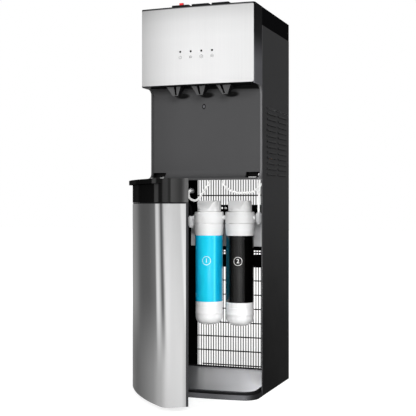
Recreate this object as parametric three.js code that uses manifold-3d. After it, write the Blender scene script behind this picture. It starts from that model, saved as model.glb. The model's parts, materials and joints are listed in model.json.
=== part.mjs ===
// Free-standing water cooler with a swinging lower door, in millimetres.
// +Z is up and the front faces -Y. The origin lies on the floor, under the centre of the cabinet.
import * as THREE from "three";
import { mergeVertices } from "three/addons/utils/BufferGeometryUtils.js";
import { ConvexGeometry } from "three/addons/geometries/ConvexGeometry.js";
import Module from "manifold-3d";

const wasm = await Module();
wasm.setup();

// ---- Driving dimensions ----
const WIDTH = 322;
const DEPTH = 342;
const HEIGHT = 1040;
const GAP = 0.3; // clearance between seated pieces
const SLIP = 0.5; // clearance round a piece that slides or turns
const SHEET = 1.5; // painted sheet steel
const MOULDED = 2.5; // moulded plastic wall
const HEAD_DEPTH = 69; // front of the head to the front of the side panels
const HEAD_HEIGHT = 211;
const HEAD_RADIUS = 7;
const HEAD_BOW = 4;
const COVER_HEIGHT = 49;
const ALCOVE_HEIGHT = 250.5; // from the head's underside to the underside of the alcove's lower lip
const DECK_RISE = 9.5; // machine deck above the underside of the lower lip
const SHELF_RISE = 18.2; // tank shelf above the hot tank
const HOT_TANK = { inset: 67.2, y: 30, radius: 46, base: 12, height: 158 };
const COLD_TANK = { inset: 119.2, y: 30, radius: 71, height: 132 };

const HALF = WIDTH / 2;
const FRONT = -DEPTH / 2;
const BACK = DEPTH / 2;
const PANEL_FRONT = FRONT + HEAD_DEPTH;
const HEAD_BOTTOM = HEIGHT - HEAD_HEIGHT;
const COVER_BOTTOM = HEIGHT - COVER_HEIGHT;
const INSIDE = HALF - SHEET - GAP; // half the width of what fits between the side panels
const LEDGE_HEIGHT = HEAD_BOTTOM - ALCOVE_HEIGHT;
const DECK_HEIGHT = LEDGE_HEIGHT + DECK_RISE; // underside of the machine deck
const DECK_TOP = DECK_HEIGHT + SHEET;
const HOT_TOP = DECK_TOP + GAP + HOT_TANK.base + HOT_TANK.height;
const SHELF_HEIGHT = HOT_TOP + SHELF_RISE; // underside of the tank shelf
const SHELF_TOP = SHELF_HEIGHT + SHEET;
const HOT_X = -INSIDE + HOT_TANK.inset;
const COLD_X = INSIDE - COLD_TANK.inset;
const REAR_PLANE = BACK - SHEET - GAP; // back of what stands against the rear returns
const REAR_INNER = REAR_PLANE - SHEET - GAP; // front of the rear panel

// ---- Finishes ----
const finish = (color, roughness, metalness = 0) => ({ color, roughness, metalness });
const BLACK_STEEL = finish(0x242425, 0.5, 0.2);
const BLACK_PLASTIC = finish(0x111112, 0.35);
const GREY_PLASTIC = finish(0x4f4f50, 0.5);
const PALE_PLASTIC = finish(0xb4b4b8, 0.4);
const BRUSHED = finish(0xcfcfd0, 0.35, 1);
const STAINLESS = finish(0xb9bbbd, 0.25, 1);
const ZINC = finish(0xa4a6a8, 0.45, 0.9);
const COPPER = finish(0xb8734a, 0.35, 1);
const FOAM = finish(0xd9cfae, 0.9);
const RED = finish(0xb3161b, 0.35);
const WHITE = finish(0xeeeeee, 0.4);
const CYAN = finish(0x25c8f0, 0.35);
const SILICONE = finish(0xe4e4e2, 0.4);

// ---- Solids ----
const toSolid = (geometry) => {
  const bare = geometry.index ? geometry.toNonIndexed() : geometry.clone();
  bare.deleteAttribute("normal");
  bare.deleteAttribute("uv");
  const merged = mergeVertices(bare, 1e-4);
  return new wasm.Manifold(
    new wasm.Mesh({
      numProp: 3,
      vertProperties: merged.getAttribute("position").array,
      triVerts: new Uint32Array(merged.index.array),
    }),
  );
};

const toGeometry = (solid) => {
  const mesh = solid.getMesh();
  const geometry = new THREE.BufferGeometry();
  geometry.setAttribute("position", new THREE.BufferAttribute(mesh.vertProperties, 3));
  geometry.setIndex(new THREE.BufferAttribute(mesh.triVerts, 1));
  const faceted = geometry.toNonIndexed();
  faceted.computeVertexNormals();
  return faceted;
};

const join = (...solids) => solids.reduce((whole, piece) => whole.add(piece));
const cut = (body, ...tools) => tools.reduce((rest, tool) => rest.subtract(tool), body);

// A box between two values on each axis.
const box = (x0, x1, y0, y1, z0, z1) =>
  toSolid(
    new THREE.BoxGeometry(x1 - x0, y1 - y0, z1 - z0).translate(
      (x0 + x1) / 2,
      (y0 + y1) / 2,
      (z0 + z1) / 2,
    ),
  );

// A round bar between two points.
const bar = (from, to, radius, sides = 12) => {
  const a = new THREE.Vector3(...from);
  const b = new THREE.Vector3(...to);
  const geometry = new THREE.CylinderGeometry(radius, radius, a.distanceTo(b), sides);
  const along = b.clone().sub(a).normalize();
  const turn = new THREE.Quaternion().setFromUnitVectors(new THREE.Vector3(0, 1, 0), along);
  geometry.applyQuaternion(turn);
  return toSolid(geometry.translate((a.x + b.x) / 2, (a.y + b.y) / 2, (a.z + b.z) / 2));
};

const upright = (x, y, z0, z1, radius, sides = 16) => bar([x, y, z0], [x, y, z1], radius, sides);

// A closed outline in plan, [x, y] points, raised from z0 to z1.
const prism = (outline, z0, z1) => {
  const shape = new THREE.Shape(outline.map(([x, y]) => new THREE.Vector2(x, y)));
  const geometry = new THREE.ExtrudeGeometry(shape, { depth: z1 - z0, bevelEnabled: false });
  return toSolid(geometry.translate(0, 0, z0));
};

// A closed outline seen from the side, [y, z] points, run from x0 to x1.
const sideways = (outline, x0, x1) => {
  const shape = new THREE.Shape(outline.map(([y, z]) => new THREE.Vector2(y, z)));
  const geometry = new THREE.ExtrudeGeometry(shape, { depth: x1 - x0, bevelEnabled: false });
  geometry.rotateX(Math.PI / 2).rotateZ(Math.PI / 2);
  return toSolid(geometry.translate(x0, 0, 0));
};

// A turned solid about the upright line at x, y, from [radius, z] points that start and end on it.
const turned = (x, y, profile, sides = 16) => {
  const points = profile.map(([r, z]) => new THREE.Vector2(r, z));
  const geometry = new THREE.LatheGeometry(points, sides).rotateX(Math.PI / 2);
  return toSolid(geometry.translate(x, y, 0));
};

// A round tube along a smooth curve through the points.
const tube = (points, radius, steps, sides = 6) => {
  const curve = new THREE.CatmullRomCurve3(points.map((p) => new THREE.Vector3(...p)));
  const section = new THREE.Shape();
  for (let i = 0; i < sides; i++) {
    const angle = (2 * Math.PI * i) / sides;
    const x = radius * Math.cos(angle);
    const y = radius * Math.sin(angle);
    if (i === 0) section.moveTo(x, y);
    else section.lineTo(x, y);
  }
  return toSolid(new THREE.ExtrudeGeometry(section, { steps, extrudePath: curve }));
};

// Points along an arc, with angles in degrees.
const arc = (cx, cy, radius, from, to, steps = 6) =>
  Array.from({ length: steps + 1 }, (_, i) => {
    const angle = THREE.MathUtils.degToRad(from + ((to - from) * i) / steps);
    return [cx + radius * Math.cos(angle), cy + radius * Math.sin(angle)];
  });

// The circles of a bowed front: a shallow crown that runs smoothly into two round corners.
const bowCircles = ({ corner, radius, bow }) => {
  const x = HALF - radius;
  const crown = (x ** 2 + bow ** 2) / (2 * bow);
  const crownY = corner - bow + crown;
  const cornerY = crownY - Math.sqrt((crown - radius) ** 2 - x ** 2);
  const lean = THREE.MathUtils.radToDeg(Math.asin(x / (crown - radius)));
  return { x, crown, crownY, cornerY, lean };
};

// The bowed front of the head, the door or the base in plan, from its left side to its right,
// set in by inset on every side.
const bowedFront = (front, inset = 0, steps = 12) => {
  const { x, crown, crownY, cornerY, lean } = bowCircles(front);
  const r = front.radius - inset;
  const middle = arc(0, crownY, crown - inset, 270 - lean, 270 + lean, steps);
  return [
    ...arc(-x, cornerY, r, 180, 270 - lean),
    ...middle.slice(1, -1),
    ...arc(x, cornerY, r, 270 + lean, 360),
  ];
};

// The same front closed by a straight back.
const bowedPlan = (front, inset, back, steps) => {
  const points = bowedFront(front, inset, steps);
  return [...points, [HALF - inset, back], [-HALF + inset, back]];
};

const cooler = new THREE.Group();

const add = (name, solid, look, parent = cooler) => {
  const mesh = new THREE.Mesh(toGeometry(solid), new THREE.MeshStandardMaterial(look));
  mesh.name = name;
  parent.add(mesh);
  return mesh;
};

// ---- Base ----
const BASE_HEIGHT = 22;
const BAND_HEIGHT = 14; // lower band, under the door's skirt
const STEP_INSET = 4.5; // how far the upper part stands back from the band
const PAN_RIM = 3;
const PAN_FLOOR = 4;
const RIB_WIDTH = 5; // ledge that carries the floor plate
const PLATE = 2;
const BASE_FRONT = { corner: FRONT - 1, radius: 40, bow: 7 };

// ---- Door hinge ----
const HINGE_INSET = 10; // hinge axis in from the door's left side
const HINGE_FORWARD = 13; // hinge axis in front of the side panels
const PIN_RADIUS = 3;
const HINGE_X = -HALF + HINGE_INSET;
const HINGE_Y = PANEL_FRONT - HINGE_FORWARD;
const SKIRT_SWEEP = 14.5; // what the skirt's edge needs round the axis
const BOSS_RADIUS = 6;

const hingeRelief = (z0, z1) =>
  cut(
    upright(HINGE_X, HINGE_Y, z0, z1, SKIRT_SWEEP, 32),
    upright(HINGE_X, HINGE_Y, z0 - 1, z1 + 1, BOSS_RADIUS, 20),
  );

const tongue = (inset, z0, z1) =>
  join(
    prism(bowedPlan(BASE_FRONT, inset, PANEL_FRONT - GAP), z0, z1),
    box(-INSIDE + inset, INSIDE - inset, PANEL_FRONT - GAP - 1, BACK - inset, z0, z1),
  );

const basePan = () => {
  const seat = BASE_HEIGHT - PLATE - GAP;
  const shell = join(tongue(0, 0, BAND_HEIGHT), tongue(STEP_INSET, BAND_HEIGHT - 1, BASE_HEIGHT));
  const rim = STEP_INSET + PAN_RIM;
  return cut(
    shell,
    tongue(rim, seat, BASE_HEIGHT + 1),
    cut(tongue(rim + RIB_WIDTH, PAN_FLOOR, seat + 1), upright(HINGE_X, HINGE_Y, 0, seat + 2, 18)),
    hingeRelief(BAND_HEIGHT, BASE_HEIGHT + 1),
    upright(HINGE_X, HINGE_Y, PAN_FLOOR, BASE_HEIGHT + 1, PIN_RADIUS + GAP, 16),
  );
};
add("base_pan", basePan(), BLACK_PLASTIC);

const plateOutline = tongue(STEP_INSET + PAN_RIM + GAP, BASE_HEIGHT - PLATE, BASE_HEIGHT);
const hingeKeepout = upright(HINGE_X, HINGE_Y, 0, HEIGHT, SKIRT_SWEEP + 1, 32);
add("floor_plate", cut(plateOutline, hingeKeepout), PALE_PLASTIC);

// ---- Side panels ----
const FOOT_GAP = 0.5; // the panels stop short of the ground
const UNDERSIDE = 3; // thickness of the head's underside
const REAR_RETURN = 36;
const LOUVRE = { rows: 13, pitch: 15, height: 5, length: 88, above: 4 };
const LOUVRE_COLUMNS = [47, 155]; // distance of each column behind the panel's front

const sidePanel = (side) => {
  const top = COVER_BOTTOM - GAP;
  const wall = [PANEL_FRONT, BACK];
  const span = (inner) => [side * HALF, side * (HALF - inner)].sort((a, b) => a - b);
  let panel = join(
    box(...span(SHEET), ...wall, FOOT_GAP, top),
    box(...span(REAR_RETURN), BACK - SHEET, BACK, BASE_HEIGHT + GAP, top),
  );
  for (const column of LOUVRE_COLUMNS) {
    for (let row = 0; row < LOUVRE.rows; row++) {
      const y = PANEL_FRONT + column;
      const z = DECK_HEIGHT + LOUVRE.above + row * LOUVRE.pitch;
      const slot = [y, y + LOUVRE.length, z, z + LOUVRE.height];
      panel = cut(panel, box(side * HALF - 2 * SHEET, side * HALF + 2 * SHEET, ...slot));
    }
  }
  return panel;
};

// ---- Bulkhead fittings on the rear returns ----
const BULKHEAD_X = HALF - REAR_RETURN / 2;
const INLET_HEIGHT = DECK_HEIGHT - 34;
const DRAIN_HEIGHT = DECK_HEIGHT - 22;
const BULKHEAD_RADIUS = 8;
const portHole = (x, z, radius) => bar([x, BACK - 10, z], [x, BACK + 10, z], radius + GAP, 20);
const inletHole = portHole(-BULKHEAD_X, INLET_HEIGHT, BULKHEAD_RADIUS);
const drainHole = portHole(BULKHEAD_X, DRAIN_HEIGHT, BULKHEAD_RADIUS);
add("side_panel_left", cut(sidePanel(-1), inletHole), BLACK_STEEL);
add("side_panel_right", cut(sidePanel(1), drainHole), BLACK_STEEL);

// ---- Deck, tank shelf and rear panel ----
const ALCOVE_SETBACK = 2; // alcove panel behind the side panels' front edges
const ALCOVE_FACE = PANEL_FRONT + ALCOVE_SETBACK;
const POCKET = { width: 38, height: 16, depth: 18 };
const LENS = { x: -5, z: HEAD_BOTTOM - 50, width: 8, height: 12, holder: 8, margin: 2 };
const DECK_FRONT = ALCOVE_FACE + POCKET.depth + GAP;
const SHELF_FRONT = ALCOVE_FACE + MOULDED + GAP + LENS.holder + GAP;
const TUBE_RADIUS = 3.2;
const TUBE_HOLE = TUBE_RADIUS + 1;

// Where the water tubes and copper lines pass the deck and the shelf, [x, y].
const LINE_RADIUS = 3;
const COIL_EDGE = 1; // the condenser's bends reach past the edge of the rear returns
const COIL_HALF = HALF - REAR_RETURN + COIL_EDGE;
const CONDENSER_X = COIL_HALF + 2; // inlet and outlet of the condenser
const CONDENSER_Y = REAR_PLANE - 10;
const LINE_Y = REAR_INNER - 17.4; // copper lines, in front of the rear panel
const INLET_DECK = [-52, 79];
const DRAIN_DECK = [-10, 69];
const PURIFIED_DECK = [INSIDE - 30.2, -21];
const FEED_DECK = [-INSIDE + 12.2, -18];
const INLET_SHELF = [-54, 92];
const PURIFIED_SHELF = [INSIDE - 19.2, -35];
const FEED_SHELF = [-INSIDE + 19.2, -24];
const SUCTION_SHELF = [COLD_X + 22, LINE_Y];
const LIQUID_SHELF = [-CONDENSER_X, LINE_Y];

const drill = (plate, holes, radius) =>
  cut(plate, ...holes.map(([x, y]) => upright(x, y, 0, HEIGHT, radius, 12)));

const deckPlate = box(-INSIDE, INSIDE, DECK_FRONT, REAR_INNER, DECK_HEIGHT, DECK_TOP);
const deckHoles = [INLET_DECK, DRAIN_DECK, PURIFIED_DECK, FEED_DECK];
const lineHoles = [
  [CONDENSER_X, CONDENSER_Y],
  [-CONDENSER_X, CONDENSER_Y],
];
add("deck", drill(drill(deckPlate, deckHoles, TUBE_HOLE), lineHoles, LINE_RADIUS + 1), ZINC);

const SHELF_FLANGE = 14;
const shelfPlate = join(
  box(-INSIDE, INSIDE, SHELF_FRONT, REAR_INNER, SHELF_HEIGHT, SHELF_TOP),
  box(-INSIDE, -INSIDE + SHEET, SHELF_FRONT, REAR_INNER, SHELF_TOP - SHELF_FLANGE, SHELF_TOP),
  box(INSIDE - SHEET, INSIDE, SHELF_FRONT, REAR_INNER, SHELF_TOP - SHELF_FLANGE, SHELF_TOP),
);
const shelfHoles = [INLET_SHELF, PURIFIED_SHELF, FEED_SHELF, [HOT_X, HOT_TANK.y]];
const shelfLines = [SUCTION_SHELF, LIQUID_SHELF];
const shelf = drill(drill(shelfPlate, shelfHoles, TUBE_HOLE), shelfLines, LINE_RADIUS + 1);
add("tank_shelf", shelf, ZINC);

const SWITCH = {
  width: 15,
  height: 21,
  pitch: 26,
  x: 60,
  z: COVER_BOTTOM - 41,
  raised: 24, // degrees that the raised half stands out
  pressed: 12,
  end: 125, // degrees at which the ends meet the inside
  crease: 2.2,
};
const POWER = { x: -84, z: DECK_TOP + 50.5, width: 30, height: 24, depth: 18, flange: 4, socket: [22, 14] };
const SWITCHES = [
  ["switch_hot", RED],
  ["switch_cold", finish(0x2a5fb0, 0.4)],
  ["switch_light", BLACK_PLASTIC],
];
const switchX = (i) => SWITCH.x + i * SWITCH.pitch;
const REAR_VENT = { rows: 9, pitch: 16, height: 5, width: 150, first: DECK_TOP + 110.5 };

const rearPanel = () => {
  const y = [REAR_PLANE - SHEET, REAR_PLANE];
  let panel = box(-INSIDE, INSIDE, ...y, DECK_HEIGHT, COVER_BOTTOM - GAP);
  const through = [y[0] - 5, y[1] + 5];
  for (let row = 0; row < REAR_VENT.rows; row++) {
    const z = REAR_VENT.first + row * REAR_VENT.pitch;
    const x = REAR_VENT.width / 2;
    panel = cut(panel, box(-x, x, ...through, z, z + REAR_VENT.height));
  }
  SWITCHES.forEach((_, i) => {
    const x = SWITCH.width / 2 + SLIP;
    const z = SWITCH.height / 2 + SLIP;
    const hole = [switchX(i) - x, switchX(i) + x, ...through, SWITCH.z - z, SWITCH.z + z];
    panel = cut(panel, box(...hole));
  });
  const x = POWER.width / 2 + GAP;
  const z = POWER.height / 2 + GAP;
  return cut(panel, box(POWER.x - x, POWER.x + x, ...through, POWER.z - z, POWER.z + z));
};
add("rear_panel", rearPanel(), BLACK_STEEL);

// ---- Alcove panel: a tall plate that curves forward at its head and foot ----
const FILLET = 24;
const LIP = 5; // thickness of the lower lip
const RIM = 5; // raised edge down each side

const LIP_FRONT = PANEL_FRONT - FILLET;

const alcoveSection = (forward) => {
  const centre = ALCOVE_FACE - forward - FILLET;
  const back = ALCOVE_FACE + MOULDED;
  const front = Math.min(LIP_FRONT, centre - GAP);
  return [
    [front, LEDGE_HEIGHT],
    [back, LEDGE_HEIGHT],
    [back, HEAD_BOTTOM + UNDERSIDE],
    [front, HEAD_BOTTOM + UNDERSIDE],
    [front, HEAD_BOTTOM],
    ...arc(centre, HEAD_BOTTOM - FILLET, FILLET, 90, 0),
    ...arc(centre, LEDGE_HEIGHT + LIP + FILLET, FILLET, 0, -90),
    [front, LEDGE_HEIGHT + LIP],
  ];
};

const pocketBox = (side, wall, ahead) => {
  const x = [side * (INSIDE - RIM), side * (INSIDE - RIM - POCKET.width)].sort((a, b) => a - b);
  const z = LEDGE_HEIGHT + LIP;
  const y = [ALCOVE_FACE - ahead, ALCOVE_FACE + POCKET.depth - MOULDED + wall];
  return box(x[0] - wall, x[1] + wall, ...y, z - wall / 2, z + POCKET.height + wall);
};

const alcovePanel = () => {
  const cheek = HALF - MOULDED - GAP;
  const above = [LIP_FRONT - 5, ALCOVE_FACE + 5, HEAD_BOTTOM - GAP, HEIGHT];
  const body = join(
    sideways(alcoveSection(0), -INSIDE, INSIDE),
    sideways(alcoveSection(ALCOVE_SETBACK), -INSIDE, -INSIDE + RIM),
    sideways(alcoveSection(ALCOVE_SETBACK), INSIDE - RIM, INSIDE),
    pocketBox(-1, MOULDED, 0),
    pocketBox(1, MOULDED, 0),
  );
  const lens = new THREE.CylinderGeometry(0.5, 0.5, 20, 20).scale(LENS.width, 1, LENS.height);
  lens.translate(LENS.x, ALCOVE_FACE, LENS.z);
  return cut(
    body,
    pocketBox(-1, 0, FILLET + 10),
    pocketBox(1, 0, FILLET + 10),
    box(cheek, HALF, ...above),
    box(-HALF, -cheek, ...above),
    upright(HINGE_X, HINGE_Y, LEDGE_HEIGHT - 1, LEDGE_HEIGHT + LIP + 1, PIN_RADIUS + GAP, 16),
    toSolid(lens),
  );
};
add("alcove_panel", alcovePanel(), GREY_PLASTIC);

const nightLight = () => {
  const lens = new THREE.CylinderGeometry(0.5, 0.5, MOULDED + 1, 20);
  lens.scale(LENS.width - 2 * GAP, 1, LENS.height - 2 * GAP);
  lens.translate(LENS.x, ALCOVE_FACE + MOULDED / 2 - 0.2, LENS.z);
  const y = ALCOVE_FACE + MOULDED + GAP;
  const x = LENS.width / 2 + LENS.margin;
  const z = LENS.height / 2 + LENS.margin;
  const block = box(LENS.x - x, LENS.x + x, y, y + LENS.holder, LENS.z - z, LENS.z + z);
  return join(toSolid(lens), block);
};
add("night_light", nightLight(), WHITE);

// ---- Head ----
const SKIN = 1; // brushed steel sheet
const FASCIA_MARGIN = 2.5;
const HEAD_FRONT = { corner: FRONT, radius: HEAD_RADIUS, bow: HEAD_BOW };
const KEY = { width: 49, depth: 24, pitch: 57, y: FRONT + 37, proud: 10.5, height: 16, travel: 3.5 };
const STEM_RADIUS = 4;
const FAUCET = { pitch: 71, y: FRONT + 22, barrel: 13.5, top: HEAD_BOTTOM + 52 };
const LED = { count: 4, pitch: 30, radius: 1.7, z: HEIGHT - 121 };
const TOP_SKIN = 3.5;
const headBack = PANEL_FRONT - GAP;
const ledX = (i) => (i - (LED.count - 1) / 2) * LED.pitch;
const keyX = (i) => (i - 1) * KEY.pitch;
const faucetX = (i) => (i - 1) * FAUCET.pitch;
const crownAt = (x) => {
  const { crown, crownY } = bowCircles(HEAD_FRONT);
  return crownY - Math.sqrt(crown ** 2 - x ** 2);
};

const ledHole = (i) =>
  bar([ledX(i), FRONT - 20, LED.z], [ledX(i), FRONT + 20, LED.z], LED.radius + GAP);

const headShell = () => {
  const frontDrop = SKIN + GAP;
  const outside = { ...HEAD_FRONT, corner: FRONT + frontDrop };
  const low = HEAD_BOTTOM;
  const hollow = bowedPlan(outside, MOULDED, headBack + 1);
  let shell = cut(
    prism(bowedPlan(outside, 0, headBack), low, HEIGHT),
    prism(hollow, low + UNDERSIDE, HEIGHT - TOP_SKIN),
    box(-HALF + MOULDED, HALF - MOULDED, LIP_FRONT - GAP, headBack + 1, low - 1, low + UNDERSIDE + 1),
  );
  for (let i = 0; i < 3; i++) {
    const x = KEY.width / 2 + SLIP;
    const y = KEY.depth / 2 + SLIP;
    const opening = [keyX(i) - x, keyX(i) + x, KEY.y - y, KEY.y + y];
    shell = cut(
      shell,
      box(...opening, HEIGHT - TOP_SKIN - 1, HEIGHT + 1),
      upright(faucetX(i), FAUCET.y, low - 1, low + UNDERSIDE + 1, FAUCET.barrel + GAP),
    );
  }
  for (let i = 0; i < LED.count; i++) {
    shell = cut(shell, ledHole(i));
  }
  return shell;
};
add("head_shell", headShell(), BLACK_PLASTIC);

const fascia = () => {
  const front = bowedFront(HEAD_FRONT, 0);
  const rear = bowedFront(HEAD_FRONT, SKIN);
  const edge = HALF - FASCIA_MARGIN;
  const sheet = prism([...front, ...rear.reverse()], HEAD_BOTTOM + FASCIA_MARGIN, HEIGHT - FASCIA_MARGIN);
  const keep = box(-edge, edge, FRONT - 20, FRONT + 2 * SKIN, HEAD_BOTTOM, HEIGHT);
  const holes = Array.from({ length: LED.count }, (_, i) => ledHole(i));
  return cut(sheet.intersect(keep), ...holes);
};
add("fascia", fascia(), BRUSHED);

const lightGuide = () => {
  const back = FRONT + SKIN + 2 * GAP + MOULDED;
  const reach = ((LED.count - 1) / 2) * LED.pitch + 8;
  const rail = box(-reach, reach, back, back + 6, LED.z - 6, LED.z + 6);
  const pins = Array.from({ length: LED.count }, (_, i) =>
    bar([ledX(i), crownAt(ledX(i)) + 0.1, LED.z], [ledX(i), back + 1, LED.z], LED.radius, 14),
  );
  return join(rail, ...pins);
};
add("light_guide", lightGuide(), GREY_PLASTIC);

// Top cover: a lid with a deep skirt, open below.
const topCover = () => {
  const y = [PANEL_FRONT, BACK];
  const low = COVER_BOTTOM;
  const outer = box(-HALF, HALF, ...y, low, HEIGHT);
  const hollow = [-HALF + MOULDED, HALF - MOULDED, y[0] - 1, y[1] - MOULDED];
  return cut(outer, box(...hollow, low - 1, HEIGHT - TOP_SKIN));
};
add("top_cover", topCover(), BLACK_PLASTIC);

// Faucets: a wedge-shaped spout under the head, a valve barrel above it.
const SPOUT = { width: 37, depth: 34, tip: 14, drop: 29, nozzle: 6.5, bore: 4, slot: 4 };
const PORT = { radius: 4.5, z: HEAD_BOTTOM + 36, reach: 26 };
const STEM_BORE = 10;

const spoutWedge = () => {
  const z = HEAD_BOTTOM - GAP;
  const w = SPOUT.width / 2;
  const d = SPOUT.depth / 2;
  const t = SPOUT.tip / 2;
  const low = z - SPOUT.drop + 4;
  const corners = [
    [-w, -d, z],
    [w, -d, z],
    [w, d, z],
    [-w, d, z],
    [-t, 0, low],
    [t, 0, low],
    [t, d - 2, low],
    [-t, d - 2, low],
  ];
  return new ConvexGeometry(corners.map((c) => new THREE.Vector3(...c)));
};

const faucet = (i) => {
  const x = faucetX(i);
  const y = FAUCET.y;
  const tip = HEAD_BOTTOM - SPOUT.drop;
  const nozzleY = y + SPOUT.depth / 4;
  const stemX = keyX(i);
  const boss = STEM_RADIUS + 4;
  const body = join(
    toSolid(spoutWedge().translate(x, y, 0)),
    upright(x, y, HEAD_BOTTOM - 1, FAUCET.top, FAUCET.barrel, 14),
    upright(stemX, KEY.y, FAUCET.top - 20, FAUCET.top, boss, 12),
    box(Math.min(x, stemX) - 3, Math.max(x, stemX) + 3, y, KEY.y, FAUCET.top - 20, FAUCET.top - 2),
    upright(x, nozzleY, tip, HEAD_BOTTOM - 10, SPOUT.nozzle, 12),
    bar([x, y, PORT.z], [x, y + PORT.reach, PORT.z], PORT.radius),
    // flange that rests on the head's underside
    upright(x, y, HEAD_BOTTOM + UNDERSIDE + GAP, HEAD_BOTTOM + UNDERSIDE + 5, FAUCET.barrel + 3, 14),
  );
  return cut(
    body,
    upright(stemX, KEY.y, FAUCET.top - STEM_BORE, FAUCET.top + 1, STEM_RADIUS + SLIP, 12),
    upright(x, nozzleY, tip - 1, tip + 20, SPOUT.bore, 12),
    box(x - SPOUT.slot / 2, x + SPOUT.slot / 2, y - SPOUT.depth, y - 6, tip, HEAD_BOTTOM - 2),
  );
};

const pushKey = (i) => {
  const top = HEIGHT + KEY.proud;
  const x = keyX(i);
  const cap = box(
    x - KEY.width / 2,
    x + KEY.width / 2,
    KEY.y - KEY.depth / 2,
    KEY.y + KEY.depth / 2,
    top - KEY.height,
    top,
  );
  const stemFoot = FAUCET.top - STEM_BORE + KEY.travel + 2;
  return join(cap, upright(x, KEY.y, stemFoot, top - KEY.height + 1, STEM_RADIUS, 12));
};

const LOCK = { width: 11, depth: 9, height: 7, slot: 5, travel: 4 };
const lockX = keyX(0);
const lockSlot = (clear) => {
  const run = LOCK.travel + clear;
  const x = [lockX - LOCK.slot / 2 - clear, lockX + LOCK.slot / 2 + run];
  const top = HEIGHT + KEY.proud;
  return box(...x, KEY.y - 2 - clear, KEY.y + 2 + clear, top - 4, top + 1);
};

["hot", "room", "cold"].forEach((name, i) => {
  const cap = pushKey(i);
  add("key_" + name, i === 0 ? cut(cap, lockSlot(GAP)) : cap, BLACK_PLASTIC);
  add("faucet_" + name, faucet(i), GREY_PLASTIC);
});

const childLock = () => {
  const top = HEIGHT + KEY.proud + GAP;
  const x = [lockX - LOCK.width / 2, lockX + LOCK.width / 2];
  const y = [KEY.y - LOCK.depth / 2, KEY.y + LOCK.depth / 2];
  const foot = [lockX - LOCK.slot / 2, lockX + LOCK.slot / 2, KEY.y - 2, KEY.y + 2];
  return join(box(...x, ...y, top, top + LOCK.height), box(...foot, top - 3.5, top + 1));
};
add("child_lock", childLock(), RED);

// ---- Filters ----
const CROSSBAR = { y: CONDENSER_Y - 30.2, high: DECK_HEIGHT - 77, height: 184, slot: 38, slotHeight: 12 };
const BRACKET = { y: CROSSBAR.y - 25, high: DECK_HEIGHT - 110, height: 88, half: 121, post: 100 };
const FILTER_HEAD = { height: 65.5, neck: 32 };
const FILTER_LENGTH = 292.5; // cartridge from its foot to the head's joint
const FILTER = { spacing: 94.5, y: BRACKET.y - 47, top: DECK_HEIGHT - 65 };
FILTER.joint = FILTER.top - FILTER_HEAD.height;
FILTER.cap = FILTER.top - FILTER_HEAD.neck;
FILTER.bottom = FILTER.joint - FILTER_LENGTH;
const FILTER_BODY = 39.5;
const FILTER_CAP = 42.5;
const FILTER_NECK = 34;
const SPIGOT = { radius: 14, height: 16 };
const filterX = (i) => (i - 0.5) * FILTER.spacing;

const filterHead = (i) => {
  const x = filterX(i);
  const y = FILTER.y;
  const low = FILTER.joint + GAP;
  const side = i === 0 ? -1 : 1;
  const portZ = FILTER.joint + 17;
  const bowl = turned(x, y, [
    [0, low],
    [FILTER_CAP - 1, low],
    [FILTER_CAP, low + 1.5],
    [FILTER_CAP, FILTER.cap - 4],
    [FILTER_CAP - 3, FILTER.cap],
    [FILTER_NECK + 1, FILTER.cap],
    [FILTER_NECK, FILTER.cap + 2],
    [FILTER_NECK - 2, FILTER.top],
    [0, FILTER.top],
  ], 24);
  const rear = BRACKET.y - GAP;
  const link = filterX(0) + FILTER.spacing / 2;
  return cut(
    join(
      bowl,
      box(x - 20, x + 20, y, rear, low + 2, BRACKET.high - 2),
      bar([x, y, portZ], [x + side * (FILTER_CAP + 4), y, portZ], 7),
      bar([x, y, portZ], [link + side * GAP * 0.5, y, portZ], 6),
    ),
    upright(x, y, low - 1, low + SPIGOT.height + 2, SPIGOT.radius + SLIP),
  );
};

const filterCartridge = (i) => {
  const r = FILTER_BODY;
  const b = FILTER.bottom;
  const top = FILTER.joint;
  return turned(filterX(i), FILTER.y, [
    [0, b],
    [r * 0.45, b],
    [r * 0.72, b + 3.5],
    [r * 0.9, b + 11],
    [r * 0.99, b + 24],
    [r + 0.6, b + 33],
    [r + 0.6, b + 36],
    [r, b + 37],
    [r, top - 34],
    [r + 1.5, top - 31],
    [FILTER_CAP, top - 10],
    [FILTER_CAP, top],
    [SPIGOT.radius, top],
    [SPIGOT.radius, top + SPIGOT.height],
    [0, top + SPIGOT.height],
  ], 24);
};

for (let i = 0; i < 2; i++) {
  add("filter_head_" + (i + 1), filterHead(i), WHITE);
  add("filter_cartridge_" + (i + 1), filterCartridge(i), i === 0 ? CYAN : BLACK_PLASTIC);
}

// Elbows on the outer ports: a short barrel on the port with an upright tail.
const ELBOW = { radius: 9, height: 33, below: [12.5, 1.5] }; // feet below the filters' joint
const elbowX = (side) => side * (FILTER.spacing / 2 + FILTER_CAP + 4 + GAP + ELBOW.radius);
const elbowLow = (side) => FILTER.joint - ELBOW.below[side < 0 ? 0 : 1];
const elbowTop = (side) => [elbowX(side), FILTER.y, elbowLow(side) + ELBOW.height + GAP];
const elbow = (side) => {
  const low = elbowLow(side);
  const high = low + ELBOW.height;
  const r = ELBOW.radius;
  const profile = [
    [0, low],
    [r * 0.6, low],
    [r, low + 8],
    [r, high - 4],
    [r * 0.7, high],
    [0, high],
  ];
  return turned(elbowX(side), FILTER.y, profile);
};
add("inlet_elbow", elbow(-1), SILICONE);
add("outlet_elbow", elbow(1), SILICONE);

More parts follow.
